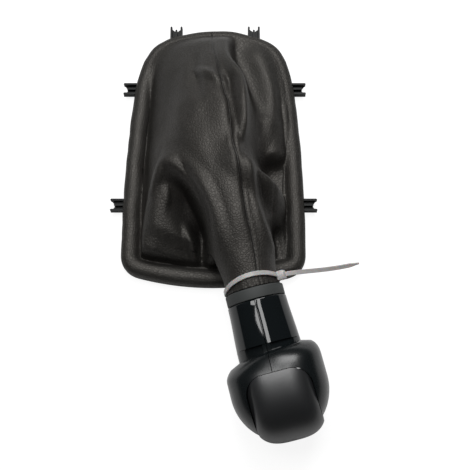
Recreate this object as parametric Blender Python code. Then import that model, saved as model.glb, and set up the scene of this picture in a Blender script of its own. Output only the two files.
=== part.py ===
# Gear knob with its gaiter, cable tie and clip-in frame, laid down as it comes to rest:
# the frame lies flat and the knob leans over the frame's front bar onto its own back.
# Metres, +Z up. The origin is the middle of the front bar's underside. +Y runs to the frame's
# arched rear end, and the knob points to -Y.

import math

import bmesh
import bpy
import numpy as np
from mathutils import Matrix, Vector

MM = 0.001

# Clearances
SEAT_GAP = 0.3 * MM          # between two pieces that touch
PART_LINE_GAP = 0.35 * MM    # open line between the two knob shells

# Gaiter frame: a moulded ring of inverted channel section. Its outer wall is four bowed runs
FRAME_LENGTH = 170.8 * MM        # over the outer wall, front to rear
FRONT_HALF_WIDTH = 54.8 * MM     # at the front corners
FRONT_BOW = 8.6 * MM             # how far the front bar bows forward of its corners
SIDE_BOW = 2.4 * MM
SHOULDER_HALF_WIDTH = 49.2 * MM  # where the sides turn in to the rear
SHOULDER_AT = 137.5 * MM         # from the front
SHOULDER_BOW = 1.9 * MM
ARCH_HALF_WIDTH = 36.5 * MM      # rear arch
ARCH_BOW = 8.1 * MM
FRONT_CORNER_REACH = 9.5 * MM    # where the rounding of a corner starts, from the corner
SHOULDER_REACH = 12.0 * MM
ARCH_REACH = 7.0 * MM
BAR_WIDTH = 7.8 * MM
BAR_WALL_HEIGHT = 5.0 * MM       # straight part of the outer wall
BAR_CROWN = 3.6 * MM             # rounded top above the walls
BAR_WALL = 1.0 * MM
FOOT_INSET = 3.6 * MM            # rebate that takes the turned-in hem
FOOT_WIDTH = 2.2 * MM
HEM_REBATE = 1.9 * MM
FRONT_WALL_Y = -FOOT_INSET - FOOT_WIDTH / 2   # puts the origin on the front bar's foot
FRAME_RIBS = 22
RIB_THICKNESS = 1.4 * MM

# Locating lugs on the frame
LUG_LENGTH = 9.6 * MM            # beyond the frame's wall
LUG_WIDTH = 8.0 * MM
LUG_BASE = 2.2 * MM              # underside above the foot
LUG_HEIGHT = 4.0 * MM
LUG_PLATE = 1.4 * MM
LUG_RIB = 1.3 * MM
LUG_NOTCH = 3.0 * MM             # depth of the swallow-tail in the plate
REAR_LUG_SPACING = 51.6 * MM     # between the two lugs on the rear arch
REAR_SIDE_LUG_AT = 130.5 * MM    # from the front
FRONT_SIDE_LUG_AT = 51.0 * MM

# Gaiter skin
SKIN = 1.2 * MM
HEM_TURN = 2.4 * MM              # how far the hem turns in under the frame
LEAVE_ANGLE = 150.0              # degrees round the bar's crown where the skin leaves it
REAR_LEAVE_ANGLE = 100.0         # the same at the rear, where the skin is drawn up
TUBE_LENGTH = 9.6 * MM           # skin that lies on the core's spigot
SLACK_ROWS = 17                  # rows of facets between the rim and the spigot
EASING_PASSES = 4                # how often neighbouring points of the slack skin are evened out
LOWEST_SKIN = 5.0 * MM           # the slack skin stays above the console's opening
CREASE_INSET = 1.6 * MM          # where the skin turns up beside the rim
CREASE_DEPTH = 1.2 * MM
FLANK_RISE = 30.0 * MM           # handles of the curves from the rim to the spigot: beside the
END_RISE = 10.0 * MM             # tube, behind it at the rear, and below it
FLANK_REACH = 4.0 * MM
END_REACH = 34.0 * MM
LOWER_REACH = 28.0 * MM
TOP_DRAW = 78.0 * MM
FLANK_DRAW = 40.0 * MM
LOWER_DRAW = 24.0 * MM
FLANK_SPREAD = 9.0 * MM
MEETING_RISE = 2.0 * MM          # how steeply the skin meets the spigot

# Knob placement: the axis leaves the gaiter and points at the head
KNOB_X = 24.0 * MM               # collar's gaiter end, from the frame's middle line
KNOB_Y = -13.9 * MM
KNOB_TURN = 14.6                 # degrees from -Y towards +X
KNOB_DIP = 4.0                   # degrees that the head end lies lower
KNOB_ROLL = 8.0                  # degrees about its own axis

# Knob, measured along its axis from the collar's gaiter end
SPIGOT_RADIUS = 14.0 * MM        # carries the gaiter's end
SPIGOT_END_RADIUS = 11.2 * MM    # carries the lever clamp
SPIGOT_LENGTH = 21.0 * MM
SPIGOT_SHOULDER = 10.4 * MM
LEVER_RADIUS = 7.0 * MM          # bore for the gear lever
LEVER_DEPTH = 62.0 * MM          # from the spigot's end
SLOT_WIDTH = 1.6 * MM
SLOT_LENGTH = 10.0 * MM
COLLAR_RADIUS = 16.8 * MM
COLLAR_LENGTH = 6.4 * MM
NECK_START_RADIUS = 17.0 * MM
NECK_END_RADIUS = 18.3 * MM
NECK_END = 31.6 * MM
GROOVE_DEPTH = 2.2 * MM          # on the front and back; the sides run on unbroken
GROOVE_END = 36.0 * MM
SHELL_WALL = 2.4 * MM
HEAD_LIP_RADIUS = 19.0 * MM
SHOULDER_END = 45.0 * MM
SHOULDER_SKEW = 0.11             # the head starts nearer the neck on its right side
WIDEST_AT = 56.0 * MM
HEAD_HALF_WIDTH = 27.4 * MM
HEAD_HALF_DEPTH = 27.0 * MM
HEAD_TOP = 84.6 * MM
HEAD_SQUARENESS = 2.7
TAB_WIDTH = 4.4 * MM             # rib that bridges the groove on the part line

# Palm cap: a strap over the head's front, top and back
CAP_START = 47.6 * MM
CAP_OFFSET = 1.2 * MM            # to the right of the part line
CAP_HALF_WIDTH = 17.8 * MM
CAP_CORNER_RADIUS = 10.5 * MM
CAP_PROUD = 0.7 * MM             # stands above the shells
CAP_TOP = 85.6 * MM
CAP_EDGE_START = 66.0 * MM       # where the cap's sides start to round over
CAP_WALL = 3.0 * MM
CAP_SQUARENESS = 3.4

# Core inside the head
CORE_RADIUS = 12.0 * MM
CORE_FLANGE = 2.2 * MM
CORE_FLANGES_AT = (8.8 * MM, 26.0 * MM)
BLOCK_START = 50.0 * MM

# Lever clamp: an ear clamp round the slotted spigot end
CLAMP_WIDTH = 6.0 * MM
CLAMP_BAND = 0.8 * MM
CLAMP_AT = -16.0 * MM
EAR_LENGTH = 5.0 * MM
EAR_HEIGHT = 2.4 * MM

# Cable tie round the gaiter's end
TIE_WIDTH = 2.6 * MM
TIE_THICKNESS = 1.1 * MM
TIE_AT = -2.6 * MM
TIE_SKEW = 0.7 * MM              # how much further from the collar it lies on the right
TIE_RIDE = 4.4 * MM              # how far it has ridden up the gaiter on the upper side
TIE_HEAD_ANGLE = 14.0            # degrees above the knob's right side
TIE_HEAD = (5.4 * MM, 4.6 * MM, 5.0 * MM)    # round the band, outwards, along the axis
TAIL_TIP = (63.0 * MM, -19.0 * MM, -1.5 * MM)  # in the knob's own axes
TAIL_TWIST = 35.0                # degrees

ROUND_STEPS = 32                 # facets round a turned piece
RING_STEPS = 64                  # sections round the frame; the gaiter shares them


# Materials

def make_material(name, colour, roughness, metallic=0.0):
    material = bpy.data.materials.new(name)
    material.use_nodes = True
    shader = material.node_tree.nodes["Principled BSDF"]
    shader.inputs["Base Color"].default_value = (*colour, 1.0)
    shader.inputs["Roughness"].default_value = roughness
    shader.inputs["Metallic"].default_value = metallic
    return material


def make_materials():
    return {
        "frame_plastic": make_material("frame_plastic", (0.012, 0.012, 0.013), 0.45),
        "gaiter_leather": make_material("gaiter_leather", (0.030, 0.029, 0.028), 0.55),
        "tie_nylon": make_material("tie_nylon", (0.62, 0.61, 0.59), 0.40),
        "collar_plastic": make_material("collar_plastic", (0.035, 0.037, 0.038), 0.60),
        "gloss_black": make_material("gloss_black", (0.006, 0.007, 0.008), 0.10),
        "cap_soft_black": make_material("cap_soft_black", (0.022, 0.022, 0.023), 0.42),
        "core_nylon": make_material("core_nylon", (0.040, 0.040, 0.042), 0.50),
        "clamp_steel": make_material("clamp_steel", (0.55, 0.55, 0.55), 0.30, 1.0),
    }


# Mesh helpers

def add_mesh(name, vertices, faces, material=None, parent=None):
    mesh = bpy.data.meshes.new(name)
    mesh.from_pydata([tuple(v) for v in vertices], [], faces)
    mesh.validate()
    body = bmesh.new()
    body.from_mesh(mesh)
    bmesh.ops.recalc_face_normals(body, faces=body.faces)
    body.to_mesh(mesh)
    body.free()
    thing = bpy.data.objects.new(name, mesh)
    bpy.context.scene.collection.objects.link(thing)
    if material is not None:
        mesh.materials.append(material)
        mesh.shade_smooth()
        mesh.set_sharp_from_angle(angle=math.radians(35))
    thing.parent = parent
    return thing


def loft(name, rings, material=None, parent=None, closed=False):
    """Joins rings of equally many points; closed joins the last ring to the first."""
    count = len(rings[0])
    vertices = [point for ring in rings for point in ring]
    faces = []
    spans = len(rings) if closed else len(rings) - 1
    for i in range(spans):
        lower, upper = i * count, (i + 1) % len(rings) * count
        for j in range(count):
            k = (j + 1) % count
            faces.append((lower + j, lower + k, upper + k, upper + j))
    if not closed:
        faces.append(tuple(reversed(range(count))))
        faces.append(tuple(range((len(rings) - 1) * count, len(rings) * count)))
    return add_mesh(name, vertices, faces, material, parent)


def circle(radius, along, steps=ROUND_STEPS):
    turn = 2 * math.pi / steps
    return [Vector((radius * math.cos(i * turn), radius * math.sin(i * turn), along))
            for i in range(steps)]


def squared_ring(half_width, half_depth, along, squareness, steps=ROUND_STEPS):
    """A superellipse across the knob's axis."""
    ring = []
    for i in range(steps):
        c, s = math.cos(2 * math.pi * i / steps), math.sin(2 * math.pi * i / steps)
        x = half_width * math.copysign(abs(c) ** (2 / squareness), c)
        y = half_depth * math.copysign(abs(s) ** (2 / squareness), s)
        ring.append(Vector((x, y, along)))
    return ring


def turned(name, profile, material=None, parent=None):
    """A solid of revolution from (radius, along) pairs, closed by flat ends."""
    return loft(name, [circle(radius, along) for radius, along in profile], material, parent)


def block(name, centre, size, parent=None, turn=None):
    half = [s / 2 for s in size]
    corners = [Vector((sx * half[0], sy * half[1], sz * half[2]))
               for sx in (-1, 1) for sy in (-1, 1) for sz in (-1, 1)]
    if turn is not None:
        corners = [turn @ c for c in corners]
    corners = [c + Vector(centre) for c in corners]
    faces = [(0, 1, 3, 2), (4, 6, 7, 5), (0, 4, 5, 1), (2, 3, 7, 6), (0, 2, 6, 4), (1, 5, 7, 3)]
    return add_mesh(name, corners, faces, parent=parent)


def prism(name, outline, low, high, to_space):
    """Extrudes a flat outline between two levels; to_space places (a, b, level)."""
    rings = [[to_space(a, b, level) for a, b in outline] for level in (low, high)]
    return loft(name, rings)


def combine(target, tools, operation):
    """Applies a Boolean with each tool in turn and removes the tools."""
    for tool in tools:
        tool.parent = target.parent
        modifier = target.modifiers.new("combine", "BOOLEAN")
        modifier.operation = operation
        modifier.solver = "EXACT"
        modifier.object = tool
        bpy.context.view_layer.update()
        evaluated = target.evaluated_get(bpy.context.evaluated_depsgraph_get())
        result = bpy.data.meshes.new_from_object(evaluated)
        target.modifiers.remove(modifier)
        target.data = result
        bpy.data.objects.remove(tool)
    return target


def copy_of(thing, name):
    twin = bpy.data.objects.new(name, thing.data.copy())
    bpy.context.scene.collection.objects.link(twin)
    twin.parent = thing.parent
    return twin


def tidy(thing, material, angle=35):
    """Merges the slivers that Booleans leave and sets the finish."""
    body = bmesh.new()
    body.from_mesh(thing.data)
    bmesh.ops.remove_doubles(body, verts=body.verts, dist=0.00002)
    bmesh.ops.dissolve_degenerate(body, edges=body.edges, dist=0.00002)
    body.to_mesh(thing.data)
    body.free()
    thing.data.materials.clear()
    thing.data.materials.append(material)
    thing.data.shade_smooth()
    thing.data.set_sharp_from_angle(angle=math.radians(angle))
    return thing


def smooth_step(value, low, high):
    t = min(1.0, max(0.0, (value - low) / (high - low)))
    return t * t * (3 - 2 * t)


# Frame outline

def bowed_run(a, b, bow, cut_a, cut_b, steps=12):
    """Points from a to b on a curve that bows outwards, cut short of its ends."""
    chord = b - a
    out = Vector((chord.y, -chord.x)).normalized()
    points = []
    for i in range(steps + 1):
        first, last = cut_a / chord.length, 1 - cut_b / chord.length
        t = first + (last - first) * i / steps
        points.append(a + chord * t + out * bow * 4 * t * (1 - t))
    return points


def rounding(before, corner, after, steps=7):
    """A curve from before to after that stays inside the corner; the ends are left out."""
    points = []
    for i in range(1, steps):
        t = i / steps
        points.append((1 - t) ** 2 * before + 2 * t * (1 - t) * corner + t * t * after)
    return points


def wall_points():
    """The outer wall's outline, anticlockwise from above."""
    front, rear = FRONT_WALL_Y, FRONT_WALL_Y + FRAME_LENGTH
    corners = [(FRONT_HALF_WIDTH, front + FRONT_BOW, FRONT_CORNER_REACH, SIDE_BOW),
               (SHOULDER_HALF_WIDTH, front + SHOULDER_AT, SHOULDER_REACH, SHOULDER_BOW),
               (ARCH_HALF_WIDTH, rear - ARCH_BOW, ARCH_REACH, ARCH_BOW)]
    bows = (SHOULDER_BOW, SIDE_BOW, FRONT_BOW)
    corners += [(-x, y, reach, bow) for (x, y, reach, _), bow in zip(reversed(corners), bows)]
    runs = []
    for i, (x, y, reach, bow) in enumerate(corners):
        next_x, next_y, next_reach, _ = corners[(i + 1) % len(corners)]
        runs.append(bowed_run(Vector((x, y)), Vector((next_x, next_y)), bow, reach, next_reach))
    points = []
    for i, run in enumerate(runs):
        x, y = corners[(i + 1) % len(corners)][:2]
        points += run + rounding(run[-1], Vector((x, y)), runs[(i + 1) % len(runs)][0])
    return points


class Outline:
    """The frame's outer wall seen from above, read by its share of the way round."""

    def __init__(self):
        points = wall_points()
        start = min(range(len(points)), key=lambda i: abs(points[i].x) + max(points[i].y, 0.0))
        self.points = points[start:] + points[:start]
        self.reach = [0.0]
        for i, point in enumerate(self.points):
            step = (self.points[(i + 1) % len(self.points)] - point).length
            self.reach.append(self.reach[-1] + step)

    def point(self, share):
        target = (share % 1.0) * self.reach[-1]
        index = int(np.searchsorted(self.reach, target, side="right")) - 1
        index = min(index, len(self.points) - 1)
        span = self.reach[index + 1] - self.reach[index]
        t = (target - self.reach[index]) / span
        return self.points[index].lerp(self.points[(index + 1) % len(self.points)], t)

    def at(self, share):
        """The point and the outward normal at a share of the way round."""
        along = (self.point(share + 0.004) - self.point(share - 0.004)).normalized()
        return self.point(share), Vector((along.y, -along.x))

    def share_where(self, test):
        """The share of the way round whose point makes test smallest."""
        return min((i / 2000 for i in range(2000)), key=lambda share: test(self.point(share)))


def offset_point(outline, share, out, height):
    point, normal = outline.at(share)
    return Vector((point.x + normal.x * out, point.y + normal.y * out, height))


# Gaiter frame

def bar_section():
    """The channel section as (outward, height) pairs, outer wall at outward 0."""
    crown = [(-BAR_WIDTH / 2 + BAR_WIDTH / 2 * math.cos(a),
              BAR_WALL_HEIGHT + BAR_CROWN * math.sin(a))
             for a in (math.radians(d) for d in (0, 30, 60, 90, 120, 150, 180))]
    inner_width, inner_crown = BAR_WIDTH / 2 - BAR_WALL, BAR_CROWN - BAR_WALL
    vault = [(-BAR_WIDTH / 2 - inner_width * math.cos(a),
              BAR_WALL_HEIGHT + inner_crown * math.sin(a))
             for a in (math.radians(d) for d in (0, 60, 120))]
    foot_in = FOOT_INSET + FOOT_WIDTH
    return ([(0.0, HEM_REBATE)] + crown + [(-BAR_WIDTH, HEM_REBATE)]
            + [(-BAR_WIDTH + BAR_WALL, HEM_REBATE)] + vault
            + [(-foot_in, HEM_REBATE + 1.0 * MM), (-foot_in, 0.0), (-FOOT_INSET, 0.0),
               (-FOOT_INSET, HEM_REBATE)])


def lug_shares(outline):
    """Where the six lugs stand, as shares of the way round."""
    half = REAR_LUG_SPACING / 2
    places = []
    for side in (1, -1):
        for y in (FRONT_WALL_Y + FRONT_SIDE_LUG_AT, FRONT_WALL_Y + REAR_SIDE_LUG_AT):
            places.append(outline.share_where(
                lambda p, side=side, y=y: abs(p.y - y) + (p.x * side < 0)))
        places.append(outline.share_where(
            lambda p, side=side: abs(p.x - side * half) + (p.y < FRAME_LENGTH / 2)))
    return places


def lug_axes(outline, share):
    """Root, outward and sideways directions: side lugs point along X, rear lugs along Y."""
    point, normal = outline.at(share)
    if abs(normal.x) > abs(normal.y):
        out = Vector((math.copysign(1.0, normal.x), 0.0, 0.0))
    else:
        out = Vector((0.0, 1.0, 0.0))
    return Vector((point.x, point.y, 0.0)), out, Vector((-out.y, out.x, 0.0))


def lug_solid(outline, share):
    """One lug: a swallow-tailed plate under three ribs."""
    root, out, across = lug_axes(outline, share)
    half = LUG_WIDTH / 2
    tail = LUG_LENGTH - LUG_NOTCH

    def place(a, b, level):
        return root + out * a + across * b + Vector((0, 0, level))

    sunk = -3.0 * MM
    plate = prism("lug_plate", [(sunk, -half), (LUG_LENGTH, -half), (tail, 0.0),
                                (LUG_LENGTH, half), (sunk, half)],
                  LUG_BASE, LUG_BASE + LUG_PLATE, place)
    ribs = []
    for centre, reach in ((-half + LUG_RIB / 2, LUG_LENGTH), (0.0, tail + LUG_RIB / 2),
                          (half - LUG_RIB / 2, LUG_LENGTH)):
        side = LUG_RIB / 2
        outline_points = [(sunk, centre - side), (reach - 0.6 * MM, centre - side),
                          (reach, centre - side / 2), (reach, centre + side / 2),
                          (reach - 0.6 * MM, centre + side), (sunk, centre + side)]
        ribs.append(prism("lug_rib", outline_points, LUG_BASE + LUG_PLATE / 2,
                          LUG_BASE + LUG_HEIGHT, place))
    return combine(plate, ribs, "UNION")


def make_frame(outline, material):
    section = bar_section()
    rings = [[offset_point(outline, i / RING_STEPS, out, height) for out, height in section]
             for i in range(RING_STEPS)]
    frame = loft("gaiter_frame", rings, closed=True)
    additions = []
    for i in range(FRAME_RIBS):
        share = (i + 0.5) / FRAME_RIBS
        point, normal = outline.at(share)
        out = Vector((normal.x, normal.y, 0.0))
        across = Vector((-normal.y, normal.x, 0.0))
        root = Vector((point.x, point.y, 0.0))
        inner = -BAR_WIDTH + BAR_WALL / 2
        foot = -FOOT_INSET - FOOT_WIDTH / 2
        low, high = HEM_REBATE + 0.3 * MM, BAR_WALL_HEIGHT + BAR_CROWN - BAR_WALL / 2

        def place(a, b, level, root=root, out=out, across=across):
            return root + out * a + Vector((0, 0, b)) + across * level

        profile = [(inner, low), (foot, low), (foot, high), (inner, BAR_WALL_HEIGHT)]
        additions.append(prism("frame_rib", profile, -RIB_THICKNESS / 2,
                               RIB_THICKNESS / 2, place))
    additions += [lug_solid(outline, share) for share in lug_shares(outline)]
    combine(frame, additions, "UNION")
    return tidy(frame, material)


# Knob placement

def head_width(along):
    """The head's half width: shoulder, then an ellipse to the top."""
    if along <= WIDEST_AT:
        rise = smooth_root((along - GROOVE_END) / (SHOULDER_END - GROOVE_END))
        return HEAD_LIP_RADIUS + (HEAD_HALF_WIDTH - HEAD_LIP_RADIUS) * rise
    return HEAD_HALF_WIDTH * crown((along - WIDEST_AT) / (HEAD_TOP - WIDEST_AT), 2.0)


def head_depth(along):
    if along <= WIDEST_AT:
        rise = smooth_root((along - GROOVE_END) / (WIDEST_AT - GROOVE_END))
        return HEAD_LIP_RADIUS + (HEAD_HALF_DEPTH - HEAD_LIP_RADIUS) * rise
    return HEAD_HALF_DEPTH * crown((along - WIDEST_AT) / (HEAD_TOP - WIDEST_AT), 2.2)


def smooth_root(share):
    share = min(1.0, max(0.0, share))
    return math.sqrt(1 - (1 - share) ** 2)


def crown(share, power):
    share = min(1.0, max(0.0, share))
    return (1 - share ** power) ** (1 / power)


def knob_turn():
    return (Matrix.Rotation(math.radians(KNOB_TURN), 4, "Z")
            @ Matrix.Rotation(math.radians(90 + KNOB_DIP), 4, "X")
            @ Matrix.Rotation(math.radians(KNOB_ROLL), 4, "Z"))


def knob_matrix():
    """The knob's own axes in the world, with the back of its cap on the ground."""
    turn = knob_turn()
    lowest = 0.0
    for step in range(60):
        along = CAP_START + (CAP_TOP - CAP_START) * step / 60
        for point in cap_ring(along, 0.0, 64):
            lowest = min(lowest, (turn @ point).z)
    return Matrix.Translation((KNOB_X, KNOB_Y, -lowest)) @ turn


# Knob shells, cap and core

def neck_radius(along):
    share = (along - COLLAR_LENGTH) / (NECK_END - COLLAR_LENGTH)
    return NECK_START_RADIUS + (NECK_END_RADIUS - NECK_START_RADIUS) * smooth_step(share, 0, 1.2)


def shell_stations(inset):
    """Rings of the neck and head, inset from the outer surface, bottom to top."""
    start = COLLAR_LENGTH + SEAT_GAP
    chamfer = 0.7 * MM
    rounds = []
    if inset:
        rounds.append((neck_radius(start) - inset, start - 1.0 * MM))
        for share in (0.0, 0.5, 1.0):
            along = start + (NECK_END - start) * share
            rounds.append((neck_radius(along) - inset, along))
    else:
        rounds.append((neck_radius(start) - chamfer, start))
        rounds.append((neck_radius(start), start + chamfer))
        for share in (0.33, 0.67):
            along = start + (NECK_END - start) * share
            rounds.append((neck_radius(along), along))
        rounds.append((NECK_END_RADIUS, NECK_END))
    rings = [squared_ring(radius, radius, along, 2.0) for radius, along in rounds]
    groove = NECK_END_RADIUS - GROOVE_DEPTH - inset
    rings.append(squared_ring(NECK_END_RADIUS - inset, groove, NECK_END + 0.3 * MM + inset, 2.0))
    rings.append(skewed(squared_ring(NECK_END_RADIUS - inset, groove, GROOVE_END - 0.3 * MM, 2.0)))
    top = HEAD_TOP - inset
    heads = 12
    for i in range(heads + 1):
        share = i / heads
        along = GROOVE_END + (top - GROOVE_END) * (1 - (1 - share) ** 1.5)
        if i == heads:
            along = top - 0.4 * MM
        squareness = 2.0 + (HEAD_SQUARENESS - 2.0) * smooth_step(along, GROOVE_END, SHOULDER_END)
        width, depth = head_width(along), head_depth(along)
        if inset:
            shifted = min(along + inset * 0.6, HEAD_TOP)
            width = min(width, head_width(shifted) if along > WIDEST_AT else width) - inset
            depth = min(depth, head_depth(shifted) if along > WIDEST_AT else depth) - inset
        if width > 1.0 * MM and depth > 1.0 * MM:
            rings.append(skewed(squared_ring(width, depth, along, squareness)))
    return rings


def skewed(ring):
    """Tilts a ring of the head's shoulder; the tilt fades out at the widest place."""
    for point in ring:
        fade = 1 - smooth_step(point.z, GROOVE_END, WIDEST_AT)
        point.z -= SHOULDER_SKEW * point.x * fade
    return ring


def cap_depth(along):
    if along <= WIDEST_AT:
        return head_depth(along) + CAP_PROUD
    reach = (along - WIDEST_AT) / (CAP_TOP - WIDEST_AT)
    return (HEAD_HALF_DEPTH + CAP_PROUD) * crown(reach, 2.3)


def cap_width(along):
    reach = (along - CAP_EDGE_START) / (CAP_TOP - CAP_EDGE_START)
    return (CAP_HALF_WIDTH + 2.5 * MM) * (1.0 if reach <= 0 else crown(reach, 3.0))


def cap_ring(along, inset, steps=ROUND_STEPS):
    ring = squared_ring(max(cap_width(along) - inset, 1.0 * MM),
                        max(cap_depth(along) - inset, 1.0 * MM), along, CAP_SQUARENESS, steps)
    for point in ring:
        point.x += CAP_OFFSET
    return ring


def cap_stations(inset, start):
    top = CAP_TOP - inset
    count = 11
    rings = []
    for i in range(count + 1):
        share = i / count
        along = start + (top - start) * math.sin(share * math.pi / 2)
        if i == count:
            along = top - 0.15 * MM
        rings.append(cap_ring(min(along + inset * (share ** 3), CAP_TOP), inset))
        for point in rings[-1]:
            point.z = along
    return rings


def cap_outline(gap):
    """The cap's edge seen from the front: a rounded U that runs out past the head's top."""
    half = CAP_HALF_WIDTH + gap
    low, high = CAP_START - gap, CAP_TOP + 20.0 * MM
    radius = CAP_CORNER_RADIUS + gap
    outline = [(half, high), (-half, high)]
    for turn in range(7):
        a = math.radians(180 + 15 * turn)
        outline.append((-half + radius + radius * math.cos(a), low + radius + radius * math.sin(a)))
    for turn in range(7):
        a = math.radians(270 + 15 * turn)
        outline.append((half - radius + radius * math.cos(a), low + radius + radius * math.sin(a)))
    return [(a + CAP_OFFSET, b) for a, b in outline]


def cap_prism(name, gap):
    reach = 2 * HEAD_HALF_DEPTH
    return prism(name, cap_outline(gap), -reach, reach, lambda a, b, level: Vector((a, level, b)))


def make_shells(parent, material):
    body = loft("shell_body", shell_stations(0.0), parent=parent)
    tab_length = GROOVE_END - NECK_END + 1.0 * MM
    tabs = [block("tab", (0.0, side * (NECK_END_RADIUS - 2.2 * MM), (NECK_END + GROOVE_END) / 2),
                  (TAB_WIDTH, 3.2 * MM, tab_length), parent) for side in (1, -1)]
    combine(body, tabs, "UNION")
    hollow = loft("shell_hollow", shell_stations(SHELL_WALL), parent=parent)
    combine(body, [hollow, cap_prism("cap_window", SEAT_GAP)], "DIFFERENCE")
    shells = []
    reach = HEAD_TOP
    for name, side in (("shell_left", -1), ("shell_right", 1)):
        half = copy_of(body, name)
        centre = (side * (reach / 2 + PART_LINE_GAP / 2), 0.0, reach / 2)
        box = block("half_space", centre, (reach, 2 * reach, 2 * reach), parent)
        combine(half, [box], "INTERSECT")
        shells.append(tidy(half, material))
    bpy.data.objects.remove(body)
    return shells


def make_cap(parent, material):
    cap = loft("palm_cap", cap_stations(0.0, CAP_START - 1.0 * MM), parent=parent)
    cavity_start = CAP_START - 2.0 * MM
    combine(cap, [cap_prism("cap_edge", 0.0)], "INTERSECT")
    cavity = loft("cap_cavity", cavity_rings(CAP_WALL, cavity_start), parent=parent)
    combine(cap, [cavity], "DIFFERENCE")
    return tidy(cap, material)


def cavity_rings(inset, start):
    """The cap's hollow, and with a larger inset the core block that fills it."""
    rings = cap_stations(inset, start)
    limit = CAP_HALF_WIDTH - inset
    for ring in rings:
        for point in ring:
            point.x = max(CAP_OFFSET - limit, min(CAP_OFFSET + limit, point.x))
    return rings


def make_core(parent, material):
    spigot_end = -SPIGOT_LENGTH
    collar_end = COLLAR_LENGTH + SEAT_GAP
    profile = [(SPIGOT_END_RADIUS - 0.8 * MM, spigot_end), (SPIGOT_END_RADIUS, spigot_end + 0.8 * MM),
               (SPIGOT_END_RADIUS, -SPIGOT_SHOULDER), (SPIGOT_RADIUS, -SPIGOT_SHOULDER + 0.6 * MM),
               (SPIGOT_RADIUS, collar_end)]
    for start in CORE_FLANGES_AT:
        wall = neck_radius(start) - SHELL_WALL - SEAT_GAP
        profile += [(CORE_RADIUS, collar_end + 0.4 * MM if start == CORE_FLANGES_AT[0] else start - 0.4 * MM),
                    (wall, start), (wall, start + CORE_FLANGE), (CORE_RADIUS, start + CORE_FLANGE + 0.4 * MM)]
    profile.append((CORE_RADIUS, BLOCK_START + 4.0 * MM))
    core = turned("knob_core", profile, parent=parent)
    head = loft("core_head", cavity_rings(CAP_WALL + SEAT_GAP, BLOCK_START), parent=parent)
    combine(core, [head], "UNION")
    bore_top = spigot_end + LEVER_DEPTH
    bore = turned("lever_bore", [(LEVER_RADIUS + 1.0 * MM, spigot_end - 1.0 * MM),
                                 (LEVER_RADIUS + 0.8 * MM, spigot_end),
                                 (LEVER_RADIUS, spigot_end + 0.8 * MM),
                                 (LEVER_RADIUS, bore_top)], parent=parent)
    cuts = [bore]
    for turn in (45, 135):
        cuts.append(block("spigot_slot", (0, 0, spigot_end + SLOT_LENGTH / 2 - 1.0 * MM),
                          (3 * SPIGOT_END_RADIUS, SLOT_WIDTH, SLOT_LENGTH + 2.0 * MM), parent,
                          Matrix.Rotation(math.radians(turn), 3, "Z")))
    combine(core, cuts, "DIFFERENCE")
    return tidy(core, material)


def make_collar(parent, material):
    """The matt ring between the gaiter's end and the knob's neck."""
    chamfer = 0.8 * MM
    bore = SPIGOT_RADIUS + SEAT_GAP
    profile = [(bore, 0.0), (COLLAR_RADIUS - chamfer, 0.0), (COLLAR_RADIUS, chamfer),
               (COLLAR_RADIUS, COLLAR_LENGTH - chamfer / 2),
               (COLLAR_RADIUS - chamfer / 2, COLLAR_LENGTH), (bore, COLLAR_LENGTH)]
    rings = [circle(radius, along) for radius, along in profile]
    return loft("gaiter_collar", rings, material, parent, closed=True)


def make_clamp(parent, material):
    """The ear clamp that closes the slotted spigot end on the lever."""
    inner = SPIGOT_END_RADIUS + SEAT_GAP
    outer = inner + CLAMP_BAND
    low, high = CLAMP_AT - CLAMP_WIDTH / 2, CLAMP_AT + CLAMP_WIDTH / 2
    rings = [circle(inner, low), circle(outer, low), circle(outer, high), circle(inner, high)]
    band = loft("lever_clamp", rings, parent=parent, closed=True)
    ear = block("clamp_ear", (-outer - EAR_HEIGHT / 2 + CLAMP_BAND / 2, 0.0, CLAMP_AT),
                (EAR_HEIGHT, EAR_LENGTH, CLAMP_WIDTH), parent)
    eye = block("clamp_eye", (-outer - EAR_HEIGHT / 2 + 0.2 * MM, 0.0, CLAMP_AT),
                (EAR_HEIGHT - 2 * CLAMP_BAND, EAR_LENGTH - 2 * CLAMP_BAND, 2 * CLAMP_WIDTH), parent)
    combine(band, [ear], "UNION")
    combine(band, [eye], "DIFFERENCE")
    return tidy(band, material)


# Cable tie

def bezier(a, b, c, d, t):
    s = 1 - t
    return a * s ** 3 + b * (3 * s * s * t) + c * (3 * s * t * t) + d * t ** 3


def tie_point(radius, degrees, along):
    """A point of the tie's band: it lies skew and has ridden up on its upper side."""
    a = math.radians(degrees)
    ride = TIE_RIDE * max(0.0, math.sin(a)) ** 1.5
    return Vector((radius * math.cos(a), radius * math.sin(a),
                   TIE_AT - TIE_SKEW * math.cos(a) - ride + along))


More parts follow.
